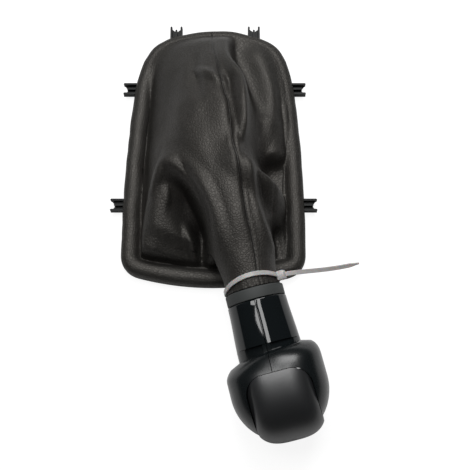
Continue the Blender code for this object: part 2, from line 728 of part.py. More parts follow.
def make_tie(parent, material):
    inner = SPIGOT_RADIUS + SKIN + 2 * SEAT_GAP
    outer = inner + TIE_THICKNESS
    half = TIE_WIDTH / 2
    band = loft("cable_tie", [[tie_point(radius, 9 * i, along) for i in range(40)]
                              for radius, along in ((inner, -half), (outer, -half),
                                                    (outer, half), (inner, half))],
                parent=parent, closed=True)
    angle = math.radians(TIE_HEAD_ANGLE)
    outward = Vector((math.cos(angle), math.sin(angle), 0.0))
    onward = Vector((math.sin(angle), -math.cos(angle), 0.0))
    face = Matrix((onward, outward, Vector((0, 0, 1)))).transposed()
    size = TIE_HEAD
    head_radius = inner + size[1] / 2
    head = block("tie_head", tie_point(head_radius, TIE_HEAD_ANGLE, 0.0), size, parent, face)
    start = tie_point(head_radius, TIE_HEAD_ANGLE, 0.0)
    tip = Vector(TAIL_TIP)
    lead = (outward + onward * 0.6).normalized()
    handles = (start, start + lead * 14.0 * MM, tip - Vector((22.0, -1.0, 0.5)) * MM, tip)
    rings = []
    steps = 18
    for i in range(steps + 1):
        t = i / steps
        here = bezier(*handles, t)
        ahead = (bezier(*handles, min(t + 0.01, 1)) - bezier(*handles, max(t - 0.01, 0))).normalized()
        width = Matrix.Rotation(math.radians(TAIL_TWIST) * t, 3, ahead) @ Vector((0, 0, 1))
        across = ahead.cross(width).normalized()
        width = across.cross(ahead)
        taper = 1.0 - 0.55 * smooth_step(t, 0.9, 1.0)
        w, h = half * taper, TIE_THICKNESS / 2 * (1.0 - 0.2 * t)
        rings.append([here + width * a * w + across * b * h
                      for a, b in ((-1, -1), (1, -1), (1, 1), (-1, 1))])
    tail = loft("tie_tail", rings, parent=parent)
    combine(band, [head, tail], "UNION")
    return tidy(band, material)


# Gaiter

# The slack skin is drawn in millimetres for these sizes and follows the real ones:
# front half width, frame length, and height of the skin's top on the spigot.
DRAWN_FOR = (54.8, 170.8, 46.9)

# The resting form along the gaiter: y, then the tube's middle x, its top, its half width,
# and the height of the slack sheet beside it.
SPINE = (
    (-16, 24.0, 46.0, 16.5, 12.0),
    (-2, 21.5, 48.5, 18.5, 20.0),
    (12, 18.0, 50.5, 17.5, 28.0),
    (30, 13.5, 51.0, 15.5, 31.0),
    (50, 6.5, 50.5, 18.5, 33.0),
    (68, 3.0, 49.0, 25.0, 38.0),
    (84, 4.0, 47.0, 32.0, 45.0),
    (100, 4.5, 43.5, 36.0, 43.5),
    (116, 4.0, 37.5, 38.0, 37.5),
    (132, 3.0, 29.0, 38.0, 29.0),
    (146, 2.0, 20.0, 36.0, 20.0),
    (158, 1.0, 12.5, 34.0, 12.5),
    (170, 0.0, 9.0, 32.0, 9.0),
)
SHEET_FOOT = ((-60, 20), (-46, 19), (-42, 18), (-34, 15.5), (-26, 12.5), (-19, 11), (-10, 8),
              (-5, 2), (1, -6), (20, -14), (40, -4), (48, 8), (60, 12))   # its front edge, x and y
FOOT_REACH = (-4.0, 10.0)        # how far behind that edge the sheet has risen
SHEET_LOW = 6.5                  # height of the sheet at the rim
SHEET_FULLNESS = 1.6             # power of its fall to the sides
TUBE_BLEND = 4.0                 # softness of the hollow between tube and sheet
FOLD_LEAST_REACH = 12.0          # so that the skin's facets can follow a steep edge

# Folds on the resting form: path of (x, y, height), and how far the fold reaches to the left
# and right of its path. A short reach is a steep edge, a long one a soft slope.
FOLDS = (
    {"path": ((-2, 162, 0), (2, 129, 2.5), (10, 85, 3), (17, 38, 2), (25, -5, 0)), "reach": (6, 14)},
    {"path": ((10.5, 162, 2), (9, 134, 6), (18.5, 114, 8), (20, 83, 8), (15, 67, 3)), "reach": (4, 11)},
    {"path": ((15, 158, -3), (15, 140, -8), (24, 120, -11), (27, 98, -10), (26, 80, -9)),
     "reach": (15, 8)},
    {"path": ((36, 92, 0), (36, 78, -8), (34, 70, -15), (39, 60, -19), (43, 52, -12)),
     "reach": (11, 12)},
    {"path": ((15, 67, 2), (21, 58.5, 8), (26, 51.5, 10), (34, 47, 10), (43, 40.5, 6), (42, 36, 0)),
     "reach": (4, 10)},
    {"path": ((31, 38, 0), (37, 33, -8), (38.5, 24, -13), (40, 13, -13), (43, 0, -8)), "reach": (8, 6)},
    {"path": ((21, 62, 0), (27, 38, 5), (30, 24, 6), (35, 9, 6), (40, -4, 3)), "reach": (4, 9)},
    {"path": ((-27, 76, 0), (-31, 66, 6), (-38.5, 45, 13), (-42, 21, 14), (-42, 15, 12)),
     "reach": (16, 4)},
    {"path": ((-42, 18, 9), (-26, 13.5, 11), (-10, 9, 10), (1, -5, 0)), "reach": (11, 4)},
    {"path": ((-38, 140, 0), (-40.5, 126, -8), (-42.5, 90, -16), (-45.5, 48, -8), (-46.5, 18, -3)),
     "reach": (15, 5)},
    {"path": ((-27, 67, 0), (-21, 58, -10), (-14, 47, -18), (-9, 37, -20), (-5, 18, -12), (-4, 8, -6)),
     "reach": (6, 17)},
    {"path": ((-24, 68, 0), (-10, 44, 7), (-1, 25, 7), (2.5, 0, 4), (3, -10, 0)), "reach": (12, 5)},
    {"path": ((-16, 125, 0), (-10, 119.5, 2.2), (-3, 113, 2.6), (4, 106, 0)), "reach": (7, 6)},
)


def soft_path(path, step=3.0):
    """A smooth curve through the path's points, as many short straight pieces."""
    points = np.array(path, float)
    ends = np.vstack([2 * points[0] - points[1], points, 2 * points[-1] - points[-2]])
    out = []
    for i in range(len(points) - 1):
        p0, p1, p2, p3 = ends[i:i + 4]
        count = max(2, int(np.linalg.norm((p2 - p1)[:2]) / step))
        for t in np.arange(count) / count:
            out.append(0.5 * (2 * p1 + (p2 - p0) * t + (2 * p0 - 5 * p1 + 4 * p2 - p3) * t ** 2
                              + (3 * p1 - p0 - 3 * p2 + p3) * t ** 3))
    out.append(points[-1])
    return np.array(out)


def soft_step(value, low, high):
    """smooth_step for whole arrays."""
    t = np.clip((value - low) / (high - low), 0.0, 1.0)
    return t * t * (3 - 2 * t)


def fold_heights(spots):
    """What the folds add at places seen from above, in the drawing's millimetres."""
    total = np.zeros(len(spots))
    for fold in FOLDS:
        line = soft_path(fold["path"])
        reaches = [max(reach, FOLD_LEAST_REACH) for reach in fold["reach"]]
        best = np.full(len(spots), np.inf)
        reach, height = np.ones(len(spots)), np.zeros(len(spots))
        for a, b in zip(line, line[1:]):
            run = (b - a)[:2]
            t = np.clip(((spots - a[:2]) @ run) / (run @ run), 0, 1)
            away = spots - (a[:2] + t[:, None] * run)
            far = np.hypot(away[:, 0], away[:, 1])
            closer = far < best
            left = run[0] * away[:, 1] - run[1] * away[:, 0] >= 0
            best = np.where(closer, far, best)
            reach = np.where(closer, np.where(left, *reaches), reach)
            height = np.where(closer, a[2] + (b[2] - a[2]) * t, height)
        total += height * (0.5 + 0.5 * np.cos(np.pi * np.minimum(best / reach, 1.0)))
    return total


def resting_heights(x, y, tube_share, inner_half_width):
    """The skin's resting form, in the drawing's millimetres: a tube that rises from a sheet."""
    spine = soft_path(SPINE)
    middle, top, half, slack = (np.interp(y, spine[:, 0], spine[:, k]) for k in (1, 2, 3, 4))
    inner = np.interp(y, *inner_half_width)
    reach = np.where(x < middle, inner + middle, inner - middle)
    share = np.clip(np.abs(x - middle) / np.maximum(reach, 1.0), 0, 1)
    foot = soft_path([(*pair, 0.0) for pair in SHEET_FOOT])
    behind = y - np.interp(x, foot[:, 0], foot[:, 1])
    sheet = SHEET_LOW + ((slack - SHEET_LOW) * (1 - share ** SHEET_FULLNESS)
                         * soft_step(behind, *FOOT_REACH))
    across = np.clip(np.abs(x - middle) / half, 0, 1)
    beyond = np.maximum(np.abs(x - middle) - half, 0)
    tube = top - half * (1 - np.sqrt(1 - across ** 2)) - 3 * beyond
    tube = sheet + (tube - sheet) * tube_share - 3 * TUBE_BLEND * (1 - tube_share)
    return (sheet + tube + np.sqrt((sheet - tube) ** 2 + TUBE_BLEND ** 2)) / 2


def column_points(a, b, c, d, shares):
    """Points on one curve for each column, as an array of columns, rows and coordinates."""
    t = shares[None, :, None]
    s = 1 - t
    a, b, c, d = (corner[:, None, :] for corner in (a, b, c, d))
    return a * s ** 3 + b * (3 * s * s * t) + c * (3 * s * t * t) + d * t ** 3


def skin_columns(outline, knob):
    """The skin's middle surface: columns of points from the turned hem to the knob's collar."""
    proud = SEAT_GAP + SKIN / 2
    shares = np.arange(RING_STEPS) / RING_STEPS
    places = [outline.at(share) for share in shares]
    wall = np.array([tuple(point) for point, _ in places])
    normal = np.array([tuple(out) for _, out in places])
    angle = 2 * math.pi * shares - math.pi / 2      # round the spigot: the rear meets its top
    topward, sideward = np.sin(angle), np.cos(angle)

    def off(out, height):
        flat = wall + normal * np.broadcast_to(out, RING_STEPS)[:, None]
        return np.column_stack([flat, np.broadcast_to(height, RING_STEPS)])

    rows = [off(-HEM_TURN, HEM_REBATE - proud), off(0.0, HEM_REBATE - proud),
            off(proud, HEM_REBATE + 0.2 * MM)]
    wide, tall = BAR_WIDTH / 2 + proud, BAR_CROWN + proud
    leave = LEAVE_ANGLE - (LEAVE_ANGLE - REAR_LEAVE_ANGLE) * soft_step(topward, 0.6, 0.95)
    for share in (0.0, 0.27, 0.53, 0.77, 1.0):
        a = np.radians(leave * share)
        rows.append(off(-BAR_WIDTH / 2 + wide * np.cos(a), BAR_WALL_HEIGHT + tall * np.sin(a)))
    rim, inward = rows[-1], np.column_stack([-normal, np.zeros(RING_STEPS)])

    turn, base = np.array(knob.to_3x3()), np.array(knob.translation)
    ahead, up = turn @ np.array([0.0, 0.0, 1.0]), np.array([0.0, 0.0, 1.0])
    radius = SPIGOT_RADIUS + proud

    def tube(along):
        local = np.column_stack([radius * sideward, radius * topward,
                                 np.full(RING_STEPS, along)])
        return local @ turn.T + base

    meet = tube(-TUBE_LENGTH)
    flank = np.abs(sideward) ** 1.5
    low = soft_step(-topward, -0.2, 0.9)
    sunk = CREASE_DEPTH * (1 - soft_step(topward, 0.5, 0.9))
    crease = rim + inward * CREASE_INSET - up * sunk[:, None]
    rise = (FLANK_RISE * flank + END_RISE * (1 - flank)) * (1 - low)
    reach = (FLANK_REACH + (END_REACH - FLANK_REACH) * (1 - flank) * (1 - low)
             + (LOWER_REACH - FLANK_REACH) * low)
    back = (TOP_DRAW * soft_step(topward, -0.3, 1.0) + FLANK_DRAW * flank * (1 - low)
            + LOWER_DRAW * low)
    spread = FLANK_SPREAD * flank * (1 - low) * np.sign(sideward)
    first = crease + up * rise[:, None] + inward * reach[:, None]
    second = (meet - ahead * back[:, None] + up * MEETING_RISE
              + spread[:, None] * np.array([1.0, 0.0, 0.0]))
    t = np.arange(SLACK_ROWS + 1) / SLACK_ROWS
    slack = column_points(crease, first, second, meet, t)

    top = (knob @ Vector((0.0, radius, -TUBE_LENGTH))).z
    scale = np.array([FRONT_HALF_WIDTH, FRAME_LENGTH, top]) / DRAWN_FOR
    x, y = slack[..., 0] / scale[0], slack[..., 1] / scale[1]
    right = wall[wall[:, 0] > FRONT_HALF_WIDTH / 10]
    right = right[np.argsort(right[:, 1])]
    inner = (right[:, 1] / scale[1], (right[:, 0] - BAR_WIDTH - proud) / scale[0])
    lower = np.repeat(1 - soft_step(topward, -0.55, -0.1)[:, None], SLACK_ROWS + 1, 1)
    spine = soft_path(SPINE)
    middle, half = (np.interp(y, spine[:, 0], spine[:, k]) for k in (1, 3))
    beneath = soft_step(half - np.abs(x - middle), -4.0, 5.0) * lower
    height = resting_heights(x, y, 1 - lower, inner)
    height += fold_heights(np.stack([x.ravel(), y.ravel()], 1)).reshape(x.shape)
    soft = soft_step(t, 0.0, 0.05) * (1 - soft_step(t, 0.84, 1.0)) * (1 - beneath)
    slack[..., 2] += (height * scale[2] - slack[..., 2]) * soft
    slack[..., 2] = np.maximum(slack[..., 2], LOWEST_SKIN)

    hem = len(rows)
    skin = np.concatenate([np.stack(rows, 1), slack,
                           np.stack([tube(-TUBE_LENGTH / 2), tube(-2 * SEAT_GAP)], 1)], 1)
    for _ in range(EASING_PASSES):
        around = np.roll(skin, 1, axis=0) + np.roll(skin, -1, axis=0)
        along = skin[:, hem:hem + SLACK_ROWS - 1] + skin[:, hem + 2:hem + SLACK_ROWS + 1]
        mean = (around[:, hem + 1:hem + SLACK_ROWS] + along) / 4
        skin[:, hem + 1:hem + SLACK_ROWS] += 0.5 * (mean - skin[:, hem + 1:hem + SLACK_ROWS])
    return skin


def make_gaiter(outline, knob, material):
    columns = skin_columns(outline, knob)
    rows = columns.shape[1]
    vertices = columns.reshape(-1, 3)
    faces = []
    for i in range(RING_STEPS):
        a, b = i * rows, (i + 1) % RING_STEPS * rows
        for j in range(rows - 1):
            faces.append((a + j, b + j, b + j + 1, a + j + 1))
    gaiter = add_mesh("gaiter", vertices, faces, material)
    thick = gaiter.modifiers.new("skin", "SOLIDIFY")
    thick.thickness = SKIN
    thick.offset = 0.0
    bpy.context.view_layer.update()
    evaluated = gaiter.evaluated_get(bpy.context.evaluated_depsgraph_get())
    solid = bpy.data.meshes.new_from_object(evaluated)
    gaiter.modifiers.clear()
    gaiter.data = solid
    notches = []
    for share in lug_shares(outline):
        root, out, across = lug_axes(outline, share)
        low, high = LUG_BASE - 4 * SEAT_GAP, LUG_BASE + LUG_HEIGHT + SEAT_GAP
        half = LUG_WIDTH / 2 + 2 * SEAT_GAP

        def place(a, b, level, root=root, out=out, across=across):
            return root + out * a + across * b + Vector((0, 0, level))

        notches.append(prism("lug_notch", [(-2 * MM, -half), (6 * MM, -half), (6 * MM, half),
                                           (-2 * MM, half)], low - 3 * MM, high, place))
    combine(gaiter, notches, "DIFFERENCE")
    return tidy(gaiter, material, 60)


def main():
    for thing in list(bpy.data.objects):
        bpy.data.objects.remove(thing)
    materials = make_materials()
    outline = Outline()
    make_frame(outline, materials["frame_plastic"])

    knob = knob_matrix()
    axis = bpy.data.objects.new("knob_axis", None)
    bpy.context.scene.collection.objects.link(axis)
    axis.matrix_world = knob
    bpy.context.view_layer.update()
    make_gaiter(outline, knob, materials["gaiter_leather"])
    make_shells(axis, materials["gloss_black"])
    make_cap(axis, materials["cap_soft_black"])
    make_core(axis, materials["core_nylon"])
    make_collar(axis, materials["collar_plastic"])
    make_clamp(axis, materials["clamp_steel"])
    make_tie(axis, materials["tie_nylon"])
    print("gear knob: shapes built")


main()
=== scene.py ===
import math

import bmesh
import bpy
import numpy as np
from mathutils import Matrix, Vector, noise


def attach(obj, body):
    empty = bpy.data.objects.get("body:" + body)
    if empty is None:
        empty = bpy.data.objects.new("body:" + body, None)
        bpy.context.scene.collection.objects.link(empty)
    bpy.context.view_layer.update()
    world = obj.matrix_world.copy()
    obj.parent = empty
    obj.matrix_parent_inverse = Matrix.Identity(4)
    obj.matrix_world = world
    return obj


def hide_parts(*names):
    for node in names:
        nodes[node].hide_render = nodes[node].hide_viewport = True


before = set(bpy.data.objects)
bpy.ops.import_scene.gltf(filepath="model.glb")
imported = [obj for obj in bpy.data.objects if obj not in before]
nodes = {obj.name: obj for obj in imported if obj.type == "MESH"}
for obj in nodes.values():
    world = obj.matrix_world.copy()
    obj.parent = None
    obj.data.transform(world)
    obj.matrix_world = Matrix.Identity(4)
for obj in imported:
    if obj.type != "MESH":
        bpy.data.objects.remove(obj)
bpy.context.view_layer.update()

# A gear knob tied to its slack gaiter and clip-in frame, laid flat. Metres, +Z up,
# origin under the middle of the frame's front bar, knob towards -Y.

mm = 0.001
seatGap = 0.3 * mm       # open space between two pieces that touch
weld = 0.000002          # points closer than this become one
root = "root"


# Node graphs whose sockets take part in arithmetic.

class Wire:
    def __init__(self, graph, socket):
        self.graph, self.socket = graph, socket

    def maths(self, operation, *others):
        return self.graph.node("ShaderNodeMath", {"operation": operation}, [self, *others])

    def __add__(self, other):
        return self.maths("ADD", other)

    def __sub__(self, other):
        return self.maths("SUBTRACT", other)

    def __rsub__(self, other):
        return self.graph.node("ShaderNodeMath", {"operation": "SUBTRACT"}, [other, self])

    def __mul__(self, other):
        return self.maths("MULTIPLY", other)

    __radd__ = __add__
    __rmul__ = __mul__

    def also(self, name):
        return Wire(self.graph, self.socket.node.outputs[name])

    def between(self, low, high):        # 0 below low, 1 above high, smooth between
        return self.graph.node("ShaderNodeMapRange", {"interpolation_type": "SMOOTHSTEP"},
                               {"Value": self, "From Min": low, "From Max": high})


class Graph:
    def __init__(self, tree):
        self.tree = tree

    def node(self, kind, settings=None, sockets=None, out=0):
        made = self.tree.nodes.new(kind)
        for name, value in (settings or {}).items():
            setattr(made, name, value)
        given = sockets.items() if isinstance(sockets, dict) else enumerate(sockets or [])
        for key, value in given:
            if isinstance(value, Wire):
                self.tree.links.new(value.socket, made.inputs[key])
            else:
                made.inputs[key].default_value = value
        return Wire(self, made.outputs[out])


class Finish(Graph):                     # a material on the piece's own Object coordinates
    def __init__(self, name, constants):
        self.material = bpy.data.materials.new(name)
        self.material.use_nodes = True
        super().__init__(self.material.node_tree)
        self.shader = self.tree.nodes["Principled BSDF"]
        for socket, value in constants.items():
            self.shader.inputs[socket].default_value = value
        self.place = self.node("ShaderNodeTexCoord", out="Object")

    def noise(self, scale, detail, roughness=0.55, place=None):
        return self.node("ShaderNodeTexNoise", None,
                         {"Vector": place or self.place, "Scale": scale, "Detail": detail,
                          "Roughness": roughness})

    def cells(self, scale, feature, place):
        return self.node("ShaderNodeTexVoronoi", {"feature": feature},
                         {"Vector": place, "Scale": scale}, "Distance")

    def shifted(self, scale, reach):     # Object coordinates pushed about by noise
        drift = self.node("ShaderNodeTexNoise", None,
                          {"Vector": self.place, "Scale": scale, "Detail": 2.0}, "Color")
        middle = self.node("ShaderNodeVectorMath", {"operation": "SUBTRACT"},
                           [drift, (0.5, 0.5, 0.5)])
        small = self.node("ShaderNodeVectorMath", {"operation": "SCALE"},
                          {"Vector": middle, "Scale": reach})
        return self.node("ShaderNodeVectorMath", {"operation": "ADD"}, [self.place, small])

    def blend(self, share, first, second):
        return self.node("ShaderNodeMix", {"data_type": "RGBA"},
                         {"Factor": share, 6: first, 7: second}, 2)

    def bumped(self, height, strength, distance, below=None):
        sockets = {"Height": height, "Strength": strength, "Distance": distance}
        if below is not None:
            sockets["Normal"] = below
        return self.node("ShaderNodeBump", None, sockets)

    def feed(self, **links):
        for name, wire in links.items():
            self.tree.links.new(wire.socket, self.shader.inputs[name.replace("_", " ")])


def colour(red, green, blue):
    return (red, green, blue, 1.0)


leather = {
    "lit": colour(0.0118, 0.0112, 0.0102),      # on the pebbles
    "deep": colour(0.0070, 0.0066, 0.0060),     # painted shade in the creases between them
    "patchTone": colour(0.0125, 0.0108, 0.0094),     # browner patches at random
    "seam": colour(0.008, 0.008, 0.008),
    "warmth": colour(1.0, 0.955, 0.89),
    "roughness": 0.55, "specular": 0.62,
    "pebble": 1 / (1.7 * mm), "fine": 1 / (0.6 * mm),        # grains to the metre
    "driftScale": 260.0, "driftReach": 0.0012,  # takes the grain off a regular net
    "wrinkleScale": 140.0, "patchScale": 16.0, "patches": (0.42, 0.66),
    "grooveShare": 0.22, "slitWidth": 0.1 * mm, "seamWidth": 1.0 * mm,
    "grainBump": (0.56, 0.3 * mm), "seamBump": (0.8, 0.5 * mm),      # strength and depth
}


def makeLeather():
    f = Finish("gaiterLeather", {"Roughness": leather["roughness"],
                                 "Specular IOR Level": leather["specular"],
                                 "Specular Tint": leather["warmth"]})
    drift = f.shifted(leather["driftScale"], leather["driftReach"])
    edges = f.cells(leather["pebble"], "DISTANCE_TO_EDGE", drift)
    pebbles = edges.between(0.0, leather["grooveShare"])
    fine = f.cells(leather["fine"], "F1", drift)
    wrinkles = f.noise(leather["wrinkleScale"], 4.0, 0.6)
    patches = f.noise(leather["patchScale"], 2.0)
    seamSide = f.node("ShaderNodeAttribute", {"attribute_name": "seamSide"}, None, "Fac")
    offSeam = seamSide.maths("ABSOLUTE").between(leather["slitWidth"], leather["seamWidth"])
    skin = f.blend(patches.between(*leather["patches"]), leather["lit"], leather["patchTone"])
    # painted shade: darker where the grain's bump is low, in the pebbles' creases and the wrinkles'
    # hollows
    tone = f.blend(pebbles * 0.75 + wrinkles * 0.25, leather["deep"], skin)
    f.feed(Base_Color=f.blend(offSeam, leather["seam"], tone),
           Roughness=leather["roughness"] - pebbles * 0.08 + fine * 0.1)
    relief = pebbles * 0.55 + fine * -0.18 + wrinkles * 0.5
    grain = f.bumped(relief, *leather["grainBump"])
    f.feed(Normal=f.bumped(offSeam, *leather["seamBump"], grain))
    return f.material


plastics = {
    "framePlastic": {"tone": colour(0.0055, 0.0062, 0.0062), "roughness": 0.5, "specular": 0.2,
                     "grainSize": 0.35 * mm, "grainBump": 0.35},
    "collarPlastic": {"tone": colour(0.050, 0.054, 0.053), "roughness": 0.62, "specular": 0.35,
                      "grainSize": 0.30 * mm, "grainBump": 0.3},
    "coreNylon": {"tone": colour(0.032, 0.032, 0.034), "roughness": 0.50, "specular": 0.5,
                  "grainSize": 0.45 * mm, "grainBump": 0.3},
}
moulding = {"flowScale": 30.0, "flow": (0.35, 0.7), "darker": 0.72, "grainDepth": 0.06 * mm}


def makeMoulded(name):
    # moulded plastic with a spark-eroded grain and faint flow marks
    plastic = plastics[name]
    f = Finish(name, {"Roughness": plastic["roughness"],
                      "Specular IOR Level": plastic["specular"]})
    grain = f.noise(1 / plastic["grainSize"], 3.0, 0.7)
    flow = f.noise(moulding["flowScale"], 2.0)
    dark = colour(*(c * moulding["darker"] for c in plastic["tone"][:3]))
    f.feed(Base_Color=f.blend(flow.between(*moulding["flow"]), plastic["tone"], dark),
           Roughness=grain * 0.16 + flow * 0.08 + (plastic["roughness"] - 0.12),
           Normal=f.bumped(grain, plastic["grainBump"], moulding["grainDepth"]))
    return f.material


gloss = {
    "tone": colour(0.0065, 0.0085, 0.0095), "worn": colour(0.006, 0.0078, 0.0085),
    "neckRoughness": 0.05, "headRoughness": 0.27, "smudgeRoughness": 0.05,
}


def makeGloss():
    # polished on the neck, handled to a satin on the head; headShare runs from 0 to 1
    f = Finish("glossBlack", {"Roughness": 0.08, "Specular IOR Level": 0.5})
    headShare = f.node("ShaderNodeAttribute", {"attribute_name": "headShare"}, None, "Fac")
    smudges = f.noise(70.0, 4.0, 0.6).between(0.5, 0.75)
    hairlines = f.noise(900.0, 2.0, 0.5)
    span = gloss["headRoughness"] - gloss["neckRoughness"]
    f.feed(Base_Color=f.blend(headShare, gloss["tone"], gloss["worn"]),
           Roughness=(headShare * span + smudges * gloss["smudgeRoughness"]
                      + gloss["neckRoughness"]),
           Normal=f.bumped(hairlines, 0.05, 0.02 * mm))
    return f.material


satin = {
    "tone": colour(0.014, 0.0148, 0.016), "rubbed": colour(0.019, 0.020, 0.0215),
    "roughness": 0.36, "grainScale": 2600.0, "rubScale": 38.0,
}


def makeCapFinish():
    # soft-touch satin, slightly polished where the palm rests
    f = Finish("capSatin", {"Roughness": 0.38, "Specular IOR Level": 1.0})
    grain = f.noise(satin["grainScale"], 2.0, 0.6)
    rubbed = f.noise(satin["rubScale"], 3.0, 0.5)
    f.feed(Base_Color=f.blend(rubbed.between(0.4, 0.7), satin["tone"], satin["rubbed"]),
           Roughness=satin["roughness"] + grain * 0.08 - rubbed.between(0.5, 0.8) * 0.05,
           Normal=f.bumped(grain, 0.12, 0.03 * mm))
    return f.material


nylon = {"milky": colour(0.40, 0.385, 0.38), "pale": colour(0.56, 0.545, 0.54),
         "streakScale": 420.0, "grainScale": 1500.0}


def makeNylon():
    # natural nylon: milky, with paler and darker streaks from the mould
    f = Finish("tieNylon", {"Roughness": 0.34, "Subsurface Weight": 0.25,
                            "Subsurface Scale": 0.002, "Specular IOR Level": 0.5})
    streaks = f.noise(nylon["streakScale"], 2.0, 0.5)
    f.feed(Base_Color=f.blend(streaks, nylon["milky"], nylon["pale"]),
           Roughness=0.28 + streaks * 0.14,
           Normal=f.bumped(f.noise(nylon["grainScale"], 2.0), 0.1, 0.04 * mm))
    return f.material


steel = {"dull": colour(0.42, 0.42, 0.43), "bright": colour(0.62, 0.62, 0.61),
         "lineScale": 500.0, "stretch": (1.0, 14.0, 14.0)}


def makeSteel():
    f = Finish("clampSteel", {"Metallic": 1.0, "Roughness": 0.3})
    brushed = f.node("ShaderNodeMapping", None, {"Vector": f.place, "Scale": steel["stretch"]})
    lines = f.noise(steel["lineScale"], 2.0, 0.6, brushed)
    f.feed(Base_Color=f.blend(lines, steel["dull"], steel["bright"]),
           Roughness=0.24 + lines * 0.2, Normal=f.bumped(lines, 0.08, 0.03 * mm))
    return f.material


finishes = {
    "leather": makeLeather(),
    "frame": makeMoulded("framePlastic"),
    "collar": makeMoulded("collarPlastic"),
    "core": makeMoulded("coreNylon"),
    "gloss": makeGloss(),
    "cap": makeCapFinish(),
    "nylon": makeNylon(),
    "steel": makeSteel(),
}
print("finishes ready:", ", ".join(finishes))


def smoothStep(value, low, high):
    t = np.clip((value - low) / (high - low), 0.0, 1.0)
    return t * t * (3 - 2 * t)


def addPiece(name, vertices, faces, finish=None, angle=35):
    mesh = bpy.data.meshes.new(name)
    mesh.from_pydata([tuple(v) for v in vertices], [], faces)
    thing = bpy.data.objects.new(name, mesh)
    bpy.context.scene.collection.objects.link(thing)
    return finished(thing, finish, angle)


def finished(thing, finish=None, angle=35):
    mesh = thing.data
    body = bmesh.new()
    body.from_mesh(mesh)
    bmesh.ops.remove_doubles(body, verts=body.verts, dist=weld)
    bmesh.ops.recalc_face_normals(body, faces=body.faces)
    body.to_mesh(mesh)
    body.free()
    if finish is not None:
        mesh.materials.clear()
        mesh.materials.append(finish)
    mesh.shade_smooth()
    mesh.set_sharp_from_angle(angle=math.radians(angle))
    return thing


def ringFaces(rings, count, closed):
    faces = []
    for i in range(rings if closed else rings - 1):
        low, high = i * count, (i + 1) % rings * count
        for j in range(count):
            k = (j + 1) % count
            faces.append((low + j, low + k, high + k, high + j))
    if not closed:
        faces.append(tuple(reversed(range(count))))
        faces.append(tuple(range((rings - 1) * count, rings * count)))
    return faces


def loft(name, rings, finish=None, closed=False):
    vertices = [point for ring in rings for point in ring]
    return addPiece(name, vertices, ringFaces(len(rings), len(rings[0]), closed), finish)


def combined(target, tools, operation):
    for tool in tools:
        cut = target.modifiers.new("cut", "BOOLEAN")
        cut.operation, cut.solver, cut.object = operation, "EXACT", tool
        baked(target)
        bpy.data.objects.remove(tool)


def baked(thing):
    bpy.context.view_layer.update()
    evaluated = thing.evaluated_get(bpy.context.evaluated_depsgraph_get())
    result = bpy.data.meshes.new_from_object(evaluated)
    thing.modifiers.clear()
    thing.data = result


def placed(thing, matrix):
    thing.data.transform(matrix)
    thing.data.update()


def rides(thing, slot, *replaced):
    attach(thing, root)
    if replaced:
        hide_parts(*replaced)


# The knob is built in its own axes: along +Z from the collar's gaiter end to the head.
knob = {
    "place": (24.0 * mm, -13.9 * mm), "turn": 14.6, "dip": 4.0, "roll": 8.0,
    "steps": 160, "spigotRadius": 14.0 * mm,
    "collarLength": 6.4 * mm, "collarRadius": 16.8 * mm, "collarEdge": 0.8 * mm,
    "neckStart": 17.0 * mm, "neckEnd": 31.6 * mm, "neckEndRadius": 18.3 * mm,
    "grooveDepth": 2.2 * mm, "grooveEnd": 36.0 * mm, "wall": 2.4 * mm,
    "lipRadius": 19.0 * mm, "shoulderEnd": 45.0 * mm, "shoulderSkew": 0.11,
    "widestAt": 56.0 * mm, "halfWidth": 27.4 * mm, "halfDepth": 27.0 * mm, "top": 84.6 * mm,
    "squareness": 2.7, "chamfer": 0.7 * mm, "grooveEase": 0.3 * mm, "partLine": 0.35 * mm,
    "tabWidth": 4.4 * mm, "tabDepth": 3.2 * mm, "tabInset": 2.2 * mm, "tabOverlap": 1.0 * mm,
    "satinFrom": 1.5 * mm, "satinTo": 1.0 * mm,      # before and after the groove's end
    "neckRings": 9, "headRings": 40, "leastHalf": 1.0 * mm,
}
cap = {
    "start": 47.6 * mm, "offset": 1.2 * mm, "halfWidth": 17.8 * mm, "corner": 10.5 * mm,
    "proud": 0.7 * mm, "top": 85.6 * mm, "edgeStart": 66.0 * mm, "overlap": 2.5 * mm,
    "wall": 3.0 * mm, "squareness": 3.4, "cornerSteps": 16, "runOut": 20.0 * mm,
    "rings": 34, "hollowRings": 12,
}


def crown(share, power):
    share = min(1.0, max(0.0, share))
    return (1 - share ** power) ** (1 / power)


def smoothRoot(share):
    share = min(1.0, max(0.0, share))
    return math.sqrt(1 - (1 - share) ** 2)


def squaredRing(halfWidth, halfDepth, along, squareness, steps=None):
    steps = steps or knob["steps"]
    ring = []
    for i in range(steps):
        c, s = math.cos(2 * math.pi * i / steps), math.sin(2 * math.pi * i / steps)
        ring.append(Vector((halfWidth * math.copysign(abs(c) ** (2 / squareness), c),
                            halfDepth * math.copysign(abs(s) ** (2 / squareness), s), along)))
    return ring


def headReach(along, full, swellEnd, power):
    # half width or depth of the head: up from the groove's lip, then over to the top
    if along <= knob["widestAt"]:
        rise = smoothRoot((along - knob["grooveEnd"]) / (swellEnd - knob["grooveEnd"]))
        return knob["lipRadius"] + (full - knob["lipRadius"]) * rise
    return full * crown((along - knob["widestAt"]) / (knob["top"] - knob["widestAt"]), power)


def headWidth(along):
    return headReach(along, knob["halfWidth"], knob["shoulderEnd"], 2.0)


def headDepth(along):
    return headReach(along, knob["halfDepth"], knob["widestAt"], 2.2)


def capDepth(along):
    if along <= knob["widestAt"]:
        return headDepth(along) + cap["proud"]
    reach = (along - knob["widestAt"]) / (cap["top"] - knob["widestAt"])
    return (knob["halfDepth"] + cap["proud"]) * crown(reach, 2.3)


def capWidth(along):
    reach = (along - cap["edgeStart"]) / (cap["top"] - cap["edgeStart"])
    return (cap["halfWidth"] + cap["overlap"]) * (1.0 if reach <= 0 else crown(reach, 3.0))


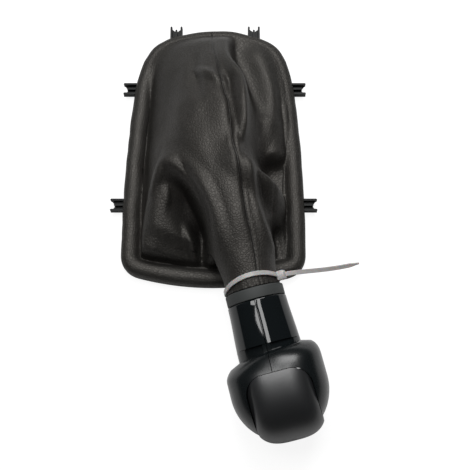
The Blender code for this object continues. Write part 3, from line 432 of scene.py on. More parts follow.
def capRing(along, inset, steps=None):
    width = max(capWidth(along) - inset, knob["leastHalf"])
    depth = max(capDepth(along) - inset, knob["leastHalf"])
    ring = squaredRing(width, depth, along, cap["squareness"], steps)
    for point in ring:
        point.x += cap["offset"]
    return ring


def knobMatrix():
    turn = (Matrix.Rotation(math.radians(knob["turn"]), 4, "Z")
            @ Matrix.Rotation(math.radians(90 + knob["dip"]), 4, "X")
            @ Matrix.Rotation(math.radians(knob["roll"]), 4, "Z"))
    stations = [cap["start"] + (cap["top"] - cap["start"]) * i / 60 for i in range(60)]
    lowest = min((turn @ point).z for along in stations for point in capRing(along, 0.0, 64))
    return Matrix.Translation((*knob["place"], -min(lowest, 0.0))) @ turn


knobAxes = knobMatrix()


def neckRadius(along):
    share = (along - knob["collarLength"]) / (knob["neckEnd"] - knob["collarLength"])
    flare = knob["neckEndRadius"] - knob["neckStart"]
    return knob["neckStart"] + flare * float(smoothStep(share, 0, 1.2))


def skewed(ring):
    for point in ring:
        fade = 1 - float(smoothStep(point.z, knob["grooveEnd"], knob["widestAt"]))
        point.z -= knob["shoulderSkew"] * point.x * fade
    return ring


def shellRings(inset):
    start = knob["collarLength"] + seatGap
    rings = []
    chamfer = 0.0 if inset else knob["chamfer"]
    if inset:
        radius = neckRadius(start) - inset
        rings.append(squaredRing(radius, radius, start - 1.0 * mm, 2.0))
    else:
        for i in range(5):               # rounded lip at the collar
            a = math.radians(22.5 * i)
            radius = neckRadius(start) - chamfer * (1 - math.sin(a))
            rings.append(squaredRing(radius, radius, start + chamfer * (1 - math.cos(a)), 2.0))
    for i in range(0 if inset else 1, knob["neckRings"] + 1):
        along = start + chamfer + (knob["neckEnd"] - start - chamfer) * i / knob["neckRings"]
        radius = neckRadius(along) - inset
        rings.append(squaredRing(radius, radius, along, 2.0))
    side = knob["neckEndRadius"] - inset
    groove = knob["neckEndRadius"] - knob["grooveDepth"] - inset
    rings.append(squaredRing(side, groove, knob["neckEnd"] + knob["grooveEase"] + inset, 2.0))
    rings.append(skewed(squaredRing(side, groove, knob["grooveEnd"] - knob["grooveEase"], 2.0)))
    top, heads = knob["top"] - inset, knob["headRings"]
    for i in range(heads + 1):
        along = knob["grooveEnd"] + (top - knob["grooveEnd"]) * (1 - (1 - i / heads) ** 1.5)
        if i == heads:
            along = top - 0.4 * mm
        swollen = float(smoothStep(along, knob["grooveEnd"], knob["shoulderEnd"]))
        squareness = 2.0 + (knob["squareness"] - 2.0) * swollen
        width, depth = headWidth(along), headDepth(along)
        if inset:
            shifted = min(along + inset * 0.6, knob["top"])
            if along > knob["widestAt"]:
                width, depth = min(width, headWidth(shifted)), min(depth, headDepth(shifted))
            width, depth = width - inset, depth - inset
        if min(width, depth) > knob["leastHalf"]:
            rings.append(skewed(squaredRing(width, depth, along, squareness)))
    return rings


def block(name, centre, size):
    half = [s / 2 for s in size]
    corners = [Vector(centre) + Vector((x * half[0], y * half[1], z * half[2]))
               for x in (-1, 1) for y in (-1, 1) for z in (-1, 1)]
    faces = [(0, 1, 3, 2), (4, 6, 7, 5), (0, 4, 5, 1), (2, 3, 7, 6), (0, 2, 6, 4), (1, 5, 7, 3)]
    return addPiece(name, corners, faces)


def capOutline(gap):
    # the cap's edge from the front: a rounded U that runs out past the head's top
    half, low, radius = cap["halfWidth"] + gap, cap["start"] - gap, cap["corner"] + gap
    high, turns = cap["top"] + cap["runOut"], cap["cornerSteps"]
    outline = [(-half, high)]
    for centre, begin in ((-half + radius, 180), (half - radius, 270)):
        for i in range(turns + 1):
            a = math.radians(begin + 90 * i / turns)
            outline.append((centre + radius * math.cos(a), low + radius + radius * math.sin(a)))
    outline.append((half, high))
    return [(a + cap["offset"], b) for a, b in outline]


def capPrism(name, gap):
    reach = 2 * knob["halfDepth"]
    rings = [[Vector((a, level, b)) for a, b in capOutline(gap)] for level in (-reach, reach)]
    return loft(name, rings)


def makeShells():
    body = loft("shellBody", shellRings(0.0))
    length = knob["grooveEnd"] - knob["neckEnd"] + knob["tabOverlap"]
    middle = (knob["neckEnd"] + knob["grooveEnd"]) / 2
    tabs = [block("tab", (0.0, side * (knob["neckEndRadius"] - knob["tabInset"]), middle),
                  (knob["tabWidth"], knob["tabDepth"], length)) for side in (1, -1)]
    combined(body, tabs, "UNION")
    combined(body, [loft("shellHollow", shellRings(knob["wall"])), capPrism("capWindow", seatGap)],
             "DIFFERENCE")
    reach = knob["top"]
    for name, side in (("shellLeft", -1), ("shellRight", 1)):
        half = bpy.data.objects.new(name, body.data.copy())
        bpy.context.scene.collection.objects.link(half)
        centre = (side * (reach / 2 + knob["partLine"] / 2), 0.0, reach / 2)
        combined(half, [block("halfSpace", centre, (reach, 2 * reach, 2 * reach))], "INTERSECT")
        finished(half, finishes["gloss"])
        share = half.data.attributes.new("headShare", "FLOAT", "POINT")
        heights = np.array([v.co.z for v in half.data.vertices])
        satinShare = smoothStep(heights, knob["grooveEnd"] - knob["satinFrom"],
                                knob["grooveEnd"] + knob["satinTo"])
        share.data.foreach_set("value", satinShare.astype(np.float32))
        placed(half, knobAxes)
        rides(half, "gloss_black", "shell_left" if side < 0 else "shell_right")
    bpy.data.objects.remove(body)
    print("shells: neck and head in two halves")


def capRings(inset, start, count):
    top = cap["top"] - inset
    rings = []
    for i in range(count + 1):
        share = i / count
        along = start + (top - start) * math.sin(share * math.pi / 2)
        if i == count:
            along = top - 0.1 * mm
        rings.append(capRing(min(along + inset * (share ** 3), cap["top"]), inset))
        for point in rings[-1]:
            point.z = along
    return rings


def makeCap():
    body = loft("palmCap", capRings(0.0, cap["start"] - 1.0 * mm, cap["rings"]))
    hollow = capRings(cap["wall"], cap["start"] - 2.0 * mm, cap["hollowRings"])
    limit = cap["halfWidth"] - cap["wall"]
    for ring in hollow:
        for point in ring:
            point.x = max(cap["offset"] - limit, min(cap["offset"] + limit, point.x))
    combined(body, [capPrism("capEdge", 0.0)], "INTERSECT")
    combined(body, [loft("capHollow", hollow)], "DIFFERENCE")
    finished(body, finishes["cap"])
    placed(body, knobAxes)
    rides(body, "cap_soft_black", "palm_cap")
    print("palm cap: one strap over front, top and back")


def makeCollar():
    bore, outer = knob["spigotRadius"] + seatGap, knob["collarRadius"]
    length, edge = knob["collarLength"], knob["collarEdge"]
    profile = [(bore, 0.0)]
    for i in range(6):
        a = math.radians(18 * i)
        profile.append((outer - edge * (1 - math.sin(a)), edge * (1 - math.cos(a))))
    profile += [(outer, length - edge / 2)]
    for i in range(1, 5):
        a = math.radians(22.5 * i)
        profile.append((outer - edge / 2 * (1 - math.cos(a)),
                        length - edge / 2 * (1 - math.sin(a))))
    profile.append((bore, length))
    rings = [squaredRing(radius, radius, along, 2.0, 128) for radius, along in profile]
    collar = loft("gaiterCollar", rings, finishes["collar"], closed=True)
    placed(collar, knobAxes)
    rides(collar, "collar_plastic", "gaiter_collar")
    print("collar: matt ring below the neck")


# The frame's outline, which the gaiter's hem follows.
rim = {
    "length": 170.8 * mm, "frontY": -4.7 * mm,
    "front": (54.8 * mm, 8.6 * mm, 9.5 * mm), "sideBow": 2.4 * mm,      # half width, bow, corner
    "shoulder": (49.2 * mm, 137.5 * mm, 12.0 * mm), "shoulderBow": 1.9 * mm,
    "arch": (36.5 * mm, 8.1 * mm, 7.0 * mm), "runSteps": 24, "cornerSteps": 12,
    "barWidth": 7.8 * mm, "wallHeight": 5.0 * mm, "crown": 3.6 * mm, "rebate": 1.9 * mm,
    "swell": 0.9 * mm, "swellScale": 55.0,
    "lugHalf": 4.7 * mm, "lugTop": 6.5 * mm,
    "lugSideAt": (51.0 * mm, 130.5 * mm), "lugRear": 25.8 * mm,
}


def wallPoints():
    frontY, rearY = rim["frontY"], rim["frontY"] + rim["length"]
    front, shoulder, arch = rim["front"], rim["shoulder"], rim["arch"]
    corners = [(front[0], frontY + front[1], front[2], rim["sideBow"]),
               (shoulder[0], frontY + shoulder[1], shoulder[2], rim["shoulderBow"]),
               (arch[0], rearY - arch[1], arch[2], arch[1])]
    bows = (rim["shoulderBow"], rim["sideBow"], front[1])
    corners += [(-x, y, reach, bow) for (x, y, reach, _), bow in zip(reversed(corners), bows)]
    runs = []
    for i, (x, y, reach, bow) in enumerate(corners):
        nextX, nextY, nextReach, _ = corners[(i + 1) % len(corners)]
        a, b = Vector((x, y)), Vector((nextX, nextY))
        chord = b - a
        out = Vector((chord.y, -chord.x)).normalized()
        first, last = reach / chord.length, 1 - nextReach / chord.length
        steps = rim["runSteps"]
        stops = [first + (last - first) * k / steps for k in range(steps + 1)]
        runs.append([a + chord * t + out * bow * 4 * t * (1 - t) for t in stops])
    points = []
    for i, run in enumerate(runs):
        corner, after = Vector(corners[(i + 1) % len(corners)][:2]), runs[(i + 1) % len(runs)][0]
        points += run
        for k in range(1, rim["cornerSteps"]):
            t = k / rim["cornerSteps"]
            points.append((1 - t) ** 2 * run[-1] + 2 * t * (1 - t) * corner + t * t * after)
    start = min(range(len(points)), key=lambda i: abs(points[i].x) + max(points[i].y, 0.0))
    return np.array([tuple(p) for p in points[start:] + points[:start]])


def outlineAt(shares):
    # points and outward normals at shares of the way round
    points = wallPoints()
    loop = np.vstack([points, points[:1]])
    reach = np.concatenate([[0.0], np.cumsum(np.linalg.norm(np.diff(loop, axis=0), axis=1))])

    def at(s):
        target = (s % 1.0) * reach[-1]
        return np.stack([np.interp(target, reach, loop[:, k]) for k in (0, 1)], 1)

    along = at(shares + 0.004) - at(shares - 0.004)
    along /= np.linalg.norm(along, axis=1)[:, None]
    return at(shares), np.stack([along[:, 1], -along[:, 0]], 1)


# The gaiter is one grained skin in slack folds, its hem round the frame, its end on the spigot.
gaiter = {
    "columns": 360, "crownRows": 10, "slackRows": 106, "tubeRows": 12,
    "skin": 1.2 * mm, "hemTurn": 2.4 * mm, "tubeLength": 9.6 * mm, "flat": (0.36, 0.22),
    "leaveAngle": 150.0, "drawnAngle": 55.0,      # off the bar, and less where drawn up
    "drawnRight": (60, 105), "drawnLeft": (112, 148),      # drawn up from y to y, in mm
    "creaseIn": 1.6 * mm, "creaseDepth": 2.4 * mm,
    "easing": 2, "rimEasing": 14, "rimRows": 18, "easeShare": 0.6,
    "sag": 0.35 * mm, "sagScale": 90.0, "pleat": 0.14 * mm, "pleats": 31,
    "least": 4.0, "floorBlend": 6.0, "seamDepth": 1.3, "seamReach": 2.4,      # millimetres
    "seamAbove": 8.0 * mm, "noSeam": 40.0,
}
# How the slack columns leave the rim and come to the spigot, in millimetres.
guides = {
    "sideRise": 30.0, "endRise": 10.0, "reachIn": 4.0, "endReach": 30.0, "lowReach": 24.0,
    "topBack": 78.0, "sideBack": 40.0, "lowBack": 24.0, "sideSpread": 9.0, "lift": 2.0,
}

# Folds seen from above, in millimetres: path of (x, y, height), and how far each reaches to
# the left and right of its path. A short reach makes a crisp edge, a long one a soft slope.
folds = {
    "seamRidge": {"path": ((-2, 162, 0), (-1, 146, 1.5), (2, 129, 2.5), (6, 108, 3), (10, 85, 3),
                           (13, 62, 2.5), (17, 38, 2), (22, 15, 1), (25, -5, 0)), "reach": (5, 14)},
    "flapEdge": {"path": ((10.5, 162, 2), (8.5, 145, 5), (9, 134, 6), (14, 123, 9), (18.5, 114, 10),
                          (19.5, 98, 10), (20, 83, 10), (18.5, 73, 7), (16, 67, 4), (13, 60, 0)),
                 "reach": (3.0, 11)},
    "besideFlap": {"path": ((13.5, 161, -5), (13.5, 143, -14), (21, 124, -20), (26, 103, -20),
                            (26.5, 88, -12), (27, 74, 0)), "reach": (20, 7)},
    "rightHollow": {"path": ((31, 98, 0), (29, 85, -8), (28, 73, -18), (34, 64, -26),
                             (42, 57, -20)), "reach": (18, 9)},
    "tongueEdge": {"path": ((12, 73, 0), (16, 67, 2), (19, 62, 8), (26, 55.5, 14), (34, 51, 17),
                            (40, 47, 17), (43, 42, 13), (43.5, 34, 0)), "reach": (2.5, 18)},
    "underTongue": {"path": ((33, 32, 0), (37, 27, -12), (38.5, 20, -18), (40, 10, -18),
                             (43, 0, -10)), "reach": (8, 6)},
    "stripEdge": {"path": ((21, 62, 0), (24, 50, 3), (27, 38, 5), (30, 24, 6), (35, 9, 6),
                           (40, -4, 3)), "reach": (2.5, 9)},
    "lobeEdge": {"path": ((-27, 76, 0), (-31, 66, 5), (-35, 57, 9), (-38.5, 45, 11),
                          (-40.5, 33, 11.5), (-42, 21, 11), (-42, 12, 9)), "reach": (25, 3)},
    "lobeFoot": {"path": ((-42, 17, 2), (-34, 14, 3), (-26, 11.5, 3.5), (-19, 9.5, 4), (-10, 6, 4),
                          (-5, -1, 3), (1, -8, 0)), "reach": (10, 2.5)},
    "leftHollow": {"path": ((-40, 142, 0), (-42, 126, -3), (-43.5, 108, -6), (-44, 90, -7),
                            (-45, 72, -7), (-46, 50, -6), (-46.6, 30, -5), (-46.5, 18, -3)),
                   "reach": (14, 6)},
    "leftSlope": {"path": ((-28, 130, 0), (-30, 108, -4), (-31, 90, -5), (-30, 76, 0)),
                  "reach": (12, 12)},
    "dent": {"path": ((-31, 50, -1), (-25, 52, -4), (-18, 47, -8), (-12, 37, -13), (-7.5, 28, -19),
                      (-5, 18, -18), (-3.5, 8, -10)), "reach": (5, 18)},
    "tubeEdge": {"path": ((-38, 43, 0), (-35.5, 50, 2), (-29, 61, 4), (-19, 56, 5), (-9, 42, 7),
                          (-3, 27, 7), (1.5, 9, 5), (2.7, -8, 0)), "reach": (12, 4)},
    "wedgeRidge": {"path": ((-17, 32, 0), (-14.5, 24, 5), (-11.5, 14, 7), (-9, 6, 4)),
                   "reach": (3.5, 5)},
    "wedgeHollow": {"path": ((-9, 32, 0), (-7, 24, -8), (-7, 14, -10), (-6, 5, -6)),
                    "reach": (4, 5)},
    "pocket": {"path": ((-42, 12, -2), (-34, 9.5, -5), (-26, 7, -6), (-18, 5, -6), (-10, 2, -4),
                        (-4, -4, 0)), "reach": (3.5, 4)},
    "diagonalRidge": {"path": ((-13, 127, 0), (-7, 121.5, 3), (-0.7, 116.5, 3.4), (5, 112, 1)),
                      "reach": (6, 3.5)},
    "backHollow": {"path": ((-10, 142, 0), (-10.5, 131, -2), (-10, 120, -3), (-8.2, 110, -3),
                            (-7.4, 97, 0)), "reach": (4, 9)},
    "rearSag": {"path": ((-30, 140, 0), (-24, 120, -2), (-20, 100, -2), (-22, 86, 0)),
                "reach": (12, 14)},
    "rightRimHollow": {"path": ((46, 80, 0), (46.5, 68, -3), (46.5, 55, -6), (46.5, 35, -6),
                                (46, 18, -2)), "reach": (5, 9)},
}
seamPath = ((-1.9, 161.8), (-0.9, 146.2), (2, 129.4), (4.1, 116.7), (6, 107.9), (7.3, 101.6),
            (9.1, 96.1), (10.9, 81.4), (12.1, 68.6), (13.9, 61.8), (16.1, 49.5), (17.8, 37.5),
            (19.5, 25.9), (22.3, 14.5), (24.4, 2.9), (25.5, -6.8))


def softPath(path, step=1.5):
    # a smooth curve through the path's points, as many short straight pieces
    points = np.array(path, float)
    ends = np.vstack([2 * points[0] - points[1], points, 2 * points[-1] - points[-2]])
    out = []
    for i in range(len(points) - 1):
        p0, p1, p2, p3 = ends[i:i + 4]
        count = max(2, int(np.linalg.norm((p2 - p1)[:2]) / step))
        for t in np.arange(count) / count:
            out.append(0.5 * (2 * p1 + (p2 - p0) * t + (2 * p0 - 5 * p1 + 4 * p2 - p3) * t ** 2
                              + (3 * p1 - p0 - 3 * p2 + p3) * t ** 3))
    out.append(points[-1])
    return np.array(out)


def nearestOn(line, spots):
    # distance, side (+1 on the left) and place along the line, for spots seen from above
    best = np.full(len(spots), 1e9)
    side, place = np.ones(len(spots)), np.zeros(len(spots))
    for i in range(len(line) - 1):
        a, run = line[i, :2], line[i + 1, :2] - line[i, :2]
        t = np.clip(((spots - a) @ run) / (run @ run), 0, 1)
        away = spots - (a + t[:, None] * run)
        far = np.hypot(away[:, 0], away[:, 1])
        closer = far < best
        best[closer] = far[closer]
        place[closer] = i + t[closer]
        side[closer] = np.where(run[0] * away[closer, 1] - run[1] * away[closer, 0] >= 0, 1.0, -1.0)
    return best, side, place


def foldHeights(spots):
    total = np.zeros(len(spots))
    for fold in folds.values():
        line = softPath(fold["path"])
        left, right = fold["reach"]
        margin = max(left, right)
        low, high = line[:, :2].min(0) - margin, line[:, :2].max(0) + margin
        near = np.all((spots > low) & (spots < high), axis=1)
        if not near.any():
            continue
        far, side, place = nearestOn(line, spots[near])
        reach = np.where(side > 0, left, right)
        fade = np.where(far < reach, 0.5 + 0.5 * np.cos(np.pi * np.minimum(far / reach, 1.0)), 0.0)
        total[near] += np.interp(place, np.arange(len(line)), line[:, 2]) * fade
    return total


# The resting form under the folds, in millimetres along the gaiter: y, the tube's axis x, its
# top and half width, and the height of the slack sheet beside it.
form = {
    "spine": ((-16, 24.0, 46, 16.5, 12), (-2, 21.5, 48.5, 18.5, 20), (12, 18.0, 50.5, 17.5, 28),
              (30, 13.5, 51, 15.5, 31), (50, 6.5, 50.5, 18.5, 37), (68, 3.0, 49, 25, 44),
              (84, 4.0, 47, 32, 45), (100, 4.5, 43.5, 36, 43.5), (116, 4.0, 37.5, 38, 37.5),
              (132, 3.0, 29.5, 38, 29.5), (146, 2.0, 21.5, 36, 21.5), (158, 1.0, 15, 34, 15),
              (170, 0, 11, 32, 11)),
    "foot": ((-60, 20), (-46, 18), (-42, 16.5), (-34, 13), (-26, 10), (-19, 8), (-10, 4), (-5, -2),
             (1, -8), (20, -14), (40, -4), (48, 8), (60, 12)),
    "low": 6.5, "drawnUp": 2.6, "blend": 4.0, "footReach": (-1.0, 15.0),
    "rimGap": 1.0, "flankFall": 3.0, "tubeDrop": 12.0,
    "fullness": ((10, 1.7), (60, 2.2), (100, 2.7), (140, 2.2), (165, 1.6)),      # at y
}


def restingHeight(x, y, tubeShare, low):
    spine = softPath(form["spine"])
    middle, top, half, slack = (np.interp(y, spine[:, 0], spine[:, k]) for k in (1, 2, 3, 4))
    wall = wallPoints() / mm
    right = wall[wall[:, 0] > 5.0]       # one side of the rim stands for both
    right = right[np.argsort(right[:, 1])]
    inner = np.interp(y, right[:, 1], right[:, 0]) - rim["barWidth"] / mm - form["rimGap"]
    reach = np.where(x < middle, inner + middle, inner - middle)
    u = np.clip(np.abs(x - middle) / np.maximum(reach, 1.0), 0, 1)
    foot = softPath([(*pair, 0.0) for pair in form["foot"]])
    ahead = y - np.interp(x, foot[:, 0], foot[:, 1])
    full = np.interp(y, *zip(*form["fullness"]))
    sheet = low + (slack - low) * (1 - u ** full) * smoothStep(ahead, *form["footReach"])
    across = np.clip(np.abs(x - middle) / half, 0, 1)
    beyond = np.maximum(np.abs(x - middle) - half, 0)
    tube = top - half * (1 - np.sqrt(1 - across ** 2)) - form["flankFall"] * beyond
    tube = sheet + (tube - sheet) * tubeShare - form["tubeDrop"] * (1 - tubeShare)
    return (sheet + tube + np.sqrt((sheet - tube) ** 2 + form["blend"] ** 2)) / 2


def bezierRows(a, b, c, d, t):
    s = 1 - t
    return (a[:, None] * s[None, :, None] ** 3 + b[:, None] * (3 * s * s * t)[None, :, None]
            + c[:, None] * (3 * s * t * t)[None, :, None] + d[:, None] * t[None, :, None] ** 3)


def hemRings(wall, normal, drawn):
    # from the turned-in edge under the frame, up over the padded bar
    count, proud = len(wall), seatGap + gaiter["skin"] / 2
    rebate = rim["rebate"]

    def off(out, height):
        return np.column_stack([wall + normal * out, np.full(count, height)])

    hem = [off(-gaiter["hemTurn"], rebate - proud), off(-0.2 * mm, rebate - proud),
           off(proud * 0.7, rebate - proud * 0.6), off(proud, rebate + 0.4 * mm),
           off(proud, rebate + 1.8 * mm)]
    wide, tall = rim["barWidth"] / 2 + proud, rim["crown"] + proud
    leave = gaiter["leaveAngle"] - gaiter["drawnAngle"] * drawn
    for i in range(gaiter["crownRows"]):
        a = np.radians(leave * i / (gaiter["crownRows"] - 1))
        flat = wall + normal * (-rim["barWidth"] / 2 + wide * np.cos(a))[:, None]
        hem.append(np.column_stack([flat, rim["wallHeight"] + tall * np.sin(a)]))
    for j in range(4, len(hem)):         # the padded hem isn't quite even
        for i, point in enumerate(hem[j]):
            uneven = abs(noise.noise(Vector(point) * rim["swellScale"]))
            swell = rim["swell"] * uneven * min(1.0, (j - 3) / 4)
            hem[j][i, :2] += normal[i] * swell * math.cos(math.radians(leave[i] * (j - 5) / 9))
            hem[j][i, 2] += swell
    return hem


def onSpigot(angle, out, along):
    # a ring of points about the knob's axis
    turn, base = np.array(knobAxes.to_3x3()), np.array(knobAxes.translation)
    local = np.column_stack([out * np.cos(angle), out * np.sin(angle),
                             np.full(len(angle), along)])
    return local @ turn.T + base


def slackRows(edge, normal, angle, meet, drawn):
    # columns of skin from the rim to the spigot, before any fold
    topward, sideward = np.sin(angle), np.cos(angle)
    flank = np.abs(sideward) ** 1.5
    low = smoothStep(-topward, -0.2, 0.9)
    inward = np.column_stack([-normal, np.zeros(len(normal))])
    up, ahead = np.array([0.0, 0.0, 1.0]), np.array(knobAxes.to_3x3()) @ np.array([0.0, 0.0, 1.0])
    depth = gaiter["creaseDepth"] * (1 - drawn)
    crease = edge + inward * gaiter["creaseIn"] - up * depth[:, None]
    rise = (guides["sideRise"] * flank * (1 - low)
            + guides["endRise"] * (1 - flank) * (1 - low)) * mm
    reachIn = (guides["reachIn"] + guides["endReach"] * (1 - flank) * (1 - low)
               + guides["lowReach"] * low) * mm
    first = crease + up * rise[:, None] + inward * reachIn[:, None]
    back = (guides["topBack"] * smoothStep(topward, -0.3, 1.0)
            + guides["sideBack"] * flank * (1 - low) + guides["lowBack"] * low) * mm
    spread = guides["sideSpread"] * mm * flank * (1 - low) * np.sign(sideward)
    aside = np.column_stack([spread, np.zeros(len(spread)),
                             np.full(len(spread), guides["lift"] * mm)])
    second = meet - ahead * back[:, None] + aside
    t = np.arange(gaiter["slackRows"] + 1) / gaiter["slackRows"]
    return bezierRows(crease, first, second, meet, t), t


def settled(slack, t, angle, drawn):
    # lays the slack rows on the resting form with its folds and its seam
    x, y = slack[..., 0] / mm, slack[..., 1] / mm
    lower = 1 - smoothStep(np.sin(angle), -0.55, -0.1)[:, None]
    spine = softPath(form["spine"])
    middle, half = (np.interp(y, spine[:, 0], spine[:, k]) for k in (1, 3))
    beneath = smoothStep(half - np.abs(x - middle), -4.0, 5.0) * lower
    ends = smoothStep(t, 0.0, 0.05)[None, :] * (1 - smoothStep(t, 0.84, 1.0))[None, :]
    rimHeight = form["low"] + form["drawnUp"] * drawn[:, None]
    height = restingHeight(x, y, 1 - lower * np.ones_like(x), rimHeight)
    spots = np.stack([x.ravel(), y.ravel()], 1)
    height = height + foldHeights(spots).reshape(x.shape)
    seam, _, _ = nearestOn(softPath([(a, b, 0.0) for a, b in seamPath]), spots)
    inSeam = 1 - smoothStep(seam, 0.0, gaiter["seamReach"])
    height -= gaiter["seamDepth"] * inSeam.reshape(x.shape)
    deep = (height - gaiter["least"]) ** 2 + gaiter["floorBlend"] ** 2
    lifted = (height + gaiter["least"] + np.sqrt(deep)) / 2
    slack[..., 2] += (lifted * mm - slack[..., 2]) * (ends * (1 - beneath))
    return slack


def tubeRings(angle, radius):
    # the gathered end round the spigot, under the tie
    tube, pleats = [], gaiter["pleats"]
    for i in range(1, gaiter["tubeRows"] + 1):
        share = i / gaiter["tubeRows"]
        along = -gaiter["tubeLength"] + (gaiter["tubeLength"] - 2 * seatGap) * share
        pleat = np.sin(angle * pleats + 2 * np.sin(angle * 5)) * gaiter["pleat"] * share ** 2
        tube.append(onSpigot(angle, radius + pleat, along))
    return tube


def gaiterSkin():
    count, proud = gaiter["columns"], seatGap + gaiter["skin"] / 2
    shares = np.arange(count) / count
    wall, normal = outlineAt(shares)
    # at the rear, and sooner on the right, the skin runs up from the rim without a crease
    drawn = np.where(wall[:, 0] > 0, smoothStep(wall[:, 1] / mm, *gaiter["drawnRight"]),
                     smoothStep(wall[:, 1] / mm, *gaiter["drawnLeft"]))
    hem = hemRings(wall, normal, drawn)
    angle = 2 * math.pi * shares - math.pi / 2
    radius = knob["spigotRadius"] + proud
    meet = onSpigot(angle, radius, -gaiter["tubeLength"])
    slack, t = slackRows(hem[-1], normal, angle, meet, drawn)
    slack = settled(slack, t, angle, drawn)
    skin = np.concatenate([np.stack(hem, 1), slack, np.stack(tubeRings(angle, radius), 1)], 1)

    begin = len(hem) - 1
    end = begin + gaiter["slackRows"]
    for _ in range(gaiter["easing"]):
        around = np.roll(skin, 1, axis=0) + np.roll(skin, -1, axis=0)
        along = skin[:, begin:end] + skin[:, begin + 2:end + 2]
        mean = (around[:, begin + 1:end + 1] + along) / 4
        skin[:, begin + 1:end + 1] += gaiter["easeShare"] * (mean - skin[:, begin + 1:end + 1])
    first, last = begin + 1, begin + gaiter["rimRows"]
    share = gaiter["easeShare"] * drawn[:, None, None]
    for _ in range(gaiter["rimEasing"]):      # drawn-up skin bends softly where it leaves the rim
        mean = (skin[:, first - 1:last - 1] + skin[:, first + 1:last + 1]) / 2
        skin[:, first:last] += share * (mean - skin[:, first:last])
    for i in range(count):
        for j in range(begin + 2, end):
            skin[i, j, 2] += gaiter["sag"] * noise.noise(Vector(skin[i, j]) * gaiter["sagScale"])
    return skin, wall


def lugColumns(wall):
    # the columns of skin that a lug passes through
    near = np.zeros(len(wall), bool)
    for side in (1, -1):
        for at in rim["lugSideAt"]:
            away = np.abs(wall[:, 1] - (rim["frontY"] + at))
            near |= (wall[:, 0] * side > 0) & (away < rim["lugHalf"])
        away = np.abs(wall[:, 0] - side * rim["lugRear"])
        near |= (wall[:, 1] > rim["length"] / 2) & (away < rim["lugHalf"])
    return near


def makeGaiter():
    skin, wall = gaiterSkin()
    count, rows = skin.shape[:2]
    nearLug = lugColumns(wall)
    notchRows = int(np.argmax(skin[0, :, 2] > rim["lugTop"]))
    faces = []
    for i in range(count):
        k = (i + 1) % count
        a, b = i * rows, k * rows
        for j in range(rows - 1):
            if j < notchRows and nearLug[i] and nearLug[k]:
                continue
            faces.append((a + j, b + j, b + j + 1, a + j + 1))
    piece = addPiece("gaiterSkin", skin.reshape(-1, 3), faces, finishes["leather"], 70)
    line = softPath([(x, y, 0.0) for x, y in seamPath])
    spots = np.array([tuple(v.co) for v in piece.data.vertices])
    far, side, _ = nearestOn(line, spots[:, :2] / mm)
    # the seam is on the upper side only
    far = np.where(spots[:, 2] < gaiter["seamAbove"], gaiter["noSeam"], far)
    seamSide = piece.data.attributes.new("seamSide", "FLOAT", "POINT")
    seamSide.data.foreach_set("value", (far * side * mm).astype(np.float32))
    thick = piece.modifiers.new("skin", "SOLIDIFY")
    thick.thickness, thick.offset, thick.use_even_offset = gaiter["skin"], 0.0, False
    baked(piece)
    piece.data.set_sharp_from_angle(angle=math.radians(70))
    rides(piece, "gaiter_leather", "gaiter")


# The cable tie has a band, a head and a toothed tail.
tie = {
    "width": 2.6 * mm, "thickness": 1.1 * mm, "at": -2.6 * mm, "skew": 0.7 * mm, "ride": 4.4 * mm,
    "headAngle": 14.0, "head": (5.4 * mm, 4.6 * mm, 5.0 * mm), "bandSteps": 120,
    "headLevels": ((-0.5, 0.12), (-0.42, 0.0), (0.3, 0.0), (0.44, 0.06), (0.5, 0.2)),
    "headCorners": ((-1, -0.6), (-0.8, -1), (0.8, -1), (1, -0.6),
                    (1, 0.6), (0.8, 1), (-0.8, 1), (-1, 0.6)),
    "tailTip": (63.0, -19.0, -1.5), "tipHandle": (22.0, -1.0, 0.5),
    "lead": 14.0 * mm, "leadTurn": 0.6,
    "tailSteps": 60, "twist": 35.0, "tipTaper": 0.55, "thinning": 0.2,
    "toothed": (0.16, 0.93), "toothPitch": 1.1 * mm, "toothHeight": 0.28 * mm,
    "toothShare": 0.55,
}


def tiePoint(radius, degrees, along):
    a = math.radians(degrees)
    ride = tie["ride"] * max(0.0, math.sin(a)) ** 1.5
    return Vector((radius * math.cos(a), radius * math.sin(a),
                   tie["at"] - tie["skew"] * math.cos(a) - ride + along))


axial = Vector((0, 0, 1))      # the knob's own axis


def bezier(a, b, c, d, t):
    s = 1 - t
    return a * s ** 3 + b * (3 * s * s * t) + c * (3 * s * t * t) + d * t ** 3


def strapSection(half, high, edge=0.22 * mm):
    # a flat strap with eased edges, as (across, up) pairs
    return [(-half + edge, -high), (half - edge, -high), (half, -high + edge), (half, high - edge),
            (half - edge, high), (-half + edge, high), (-half, high - edge), (-half, -high + edge)]


def toothTree():
    # teeth on a path: resampled at the pitch, one wedge at each point, turned along the path
    tree = bpy.data.node_groups.new("tieTeeth", "GeometryNodeTree")
    for name, way, kind in (("Geometry", "INPUT", "Geometry"), ("Pitch", "INPUT", "Float"),
                            ("Width", "INPUT", "Float"), ("Height", "INPUT", "Float"),
                            ("Finish", "INPUT", "Material"), ("Geometry", "OUTPUT", "Geometry")):
        tree.interface.new_socket(name, in_out=way, socket_type=f"NodeSocket{kind}")
    g = Graph(tree)
    given = g.node("NodeGroupInput")
    points = g.node("GeometryNodeCurveToPoints", {"mode": "LENGTH"},
                    {"Curve": given, "Length": given.also("Pitch")})
    size = g.node("ShaderNodeCombineXYZ", None,
                  {"X": given.also("Width"), "Y": given.also("Height") * 2.0,
                   "Z": given.also("Pitch") * 0.5})
    tooth = g.node("GeometryNodeMeshCube", None, {"Size": size})
    teeth = g.node("GeometryNodeInstanceOnPoints", None,
                   {"Points": points, "Instance": tooth, "Rotation": points.also("Rotation")})
    real = g.node("GeometryNodeRealizeInstances", None, {"Geometry": teeth})
    done = g.node("GeometryNodeSetMaterial", None,
                  {"Geometry": real, "Material": given.also("Finish")})
    end = tree.nodes.new("NodeGroupOutput")
    tree.links.new(done.socket, end.inputs["Geometry"])
    return tree


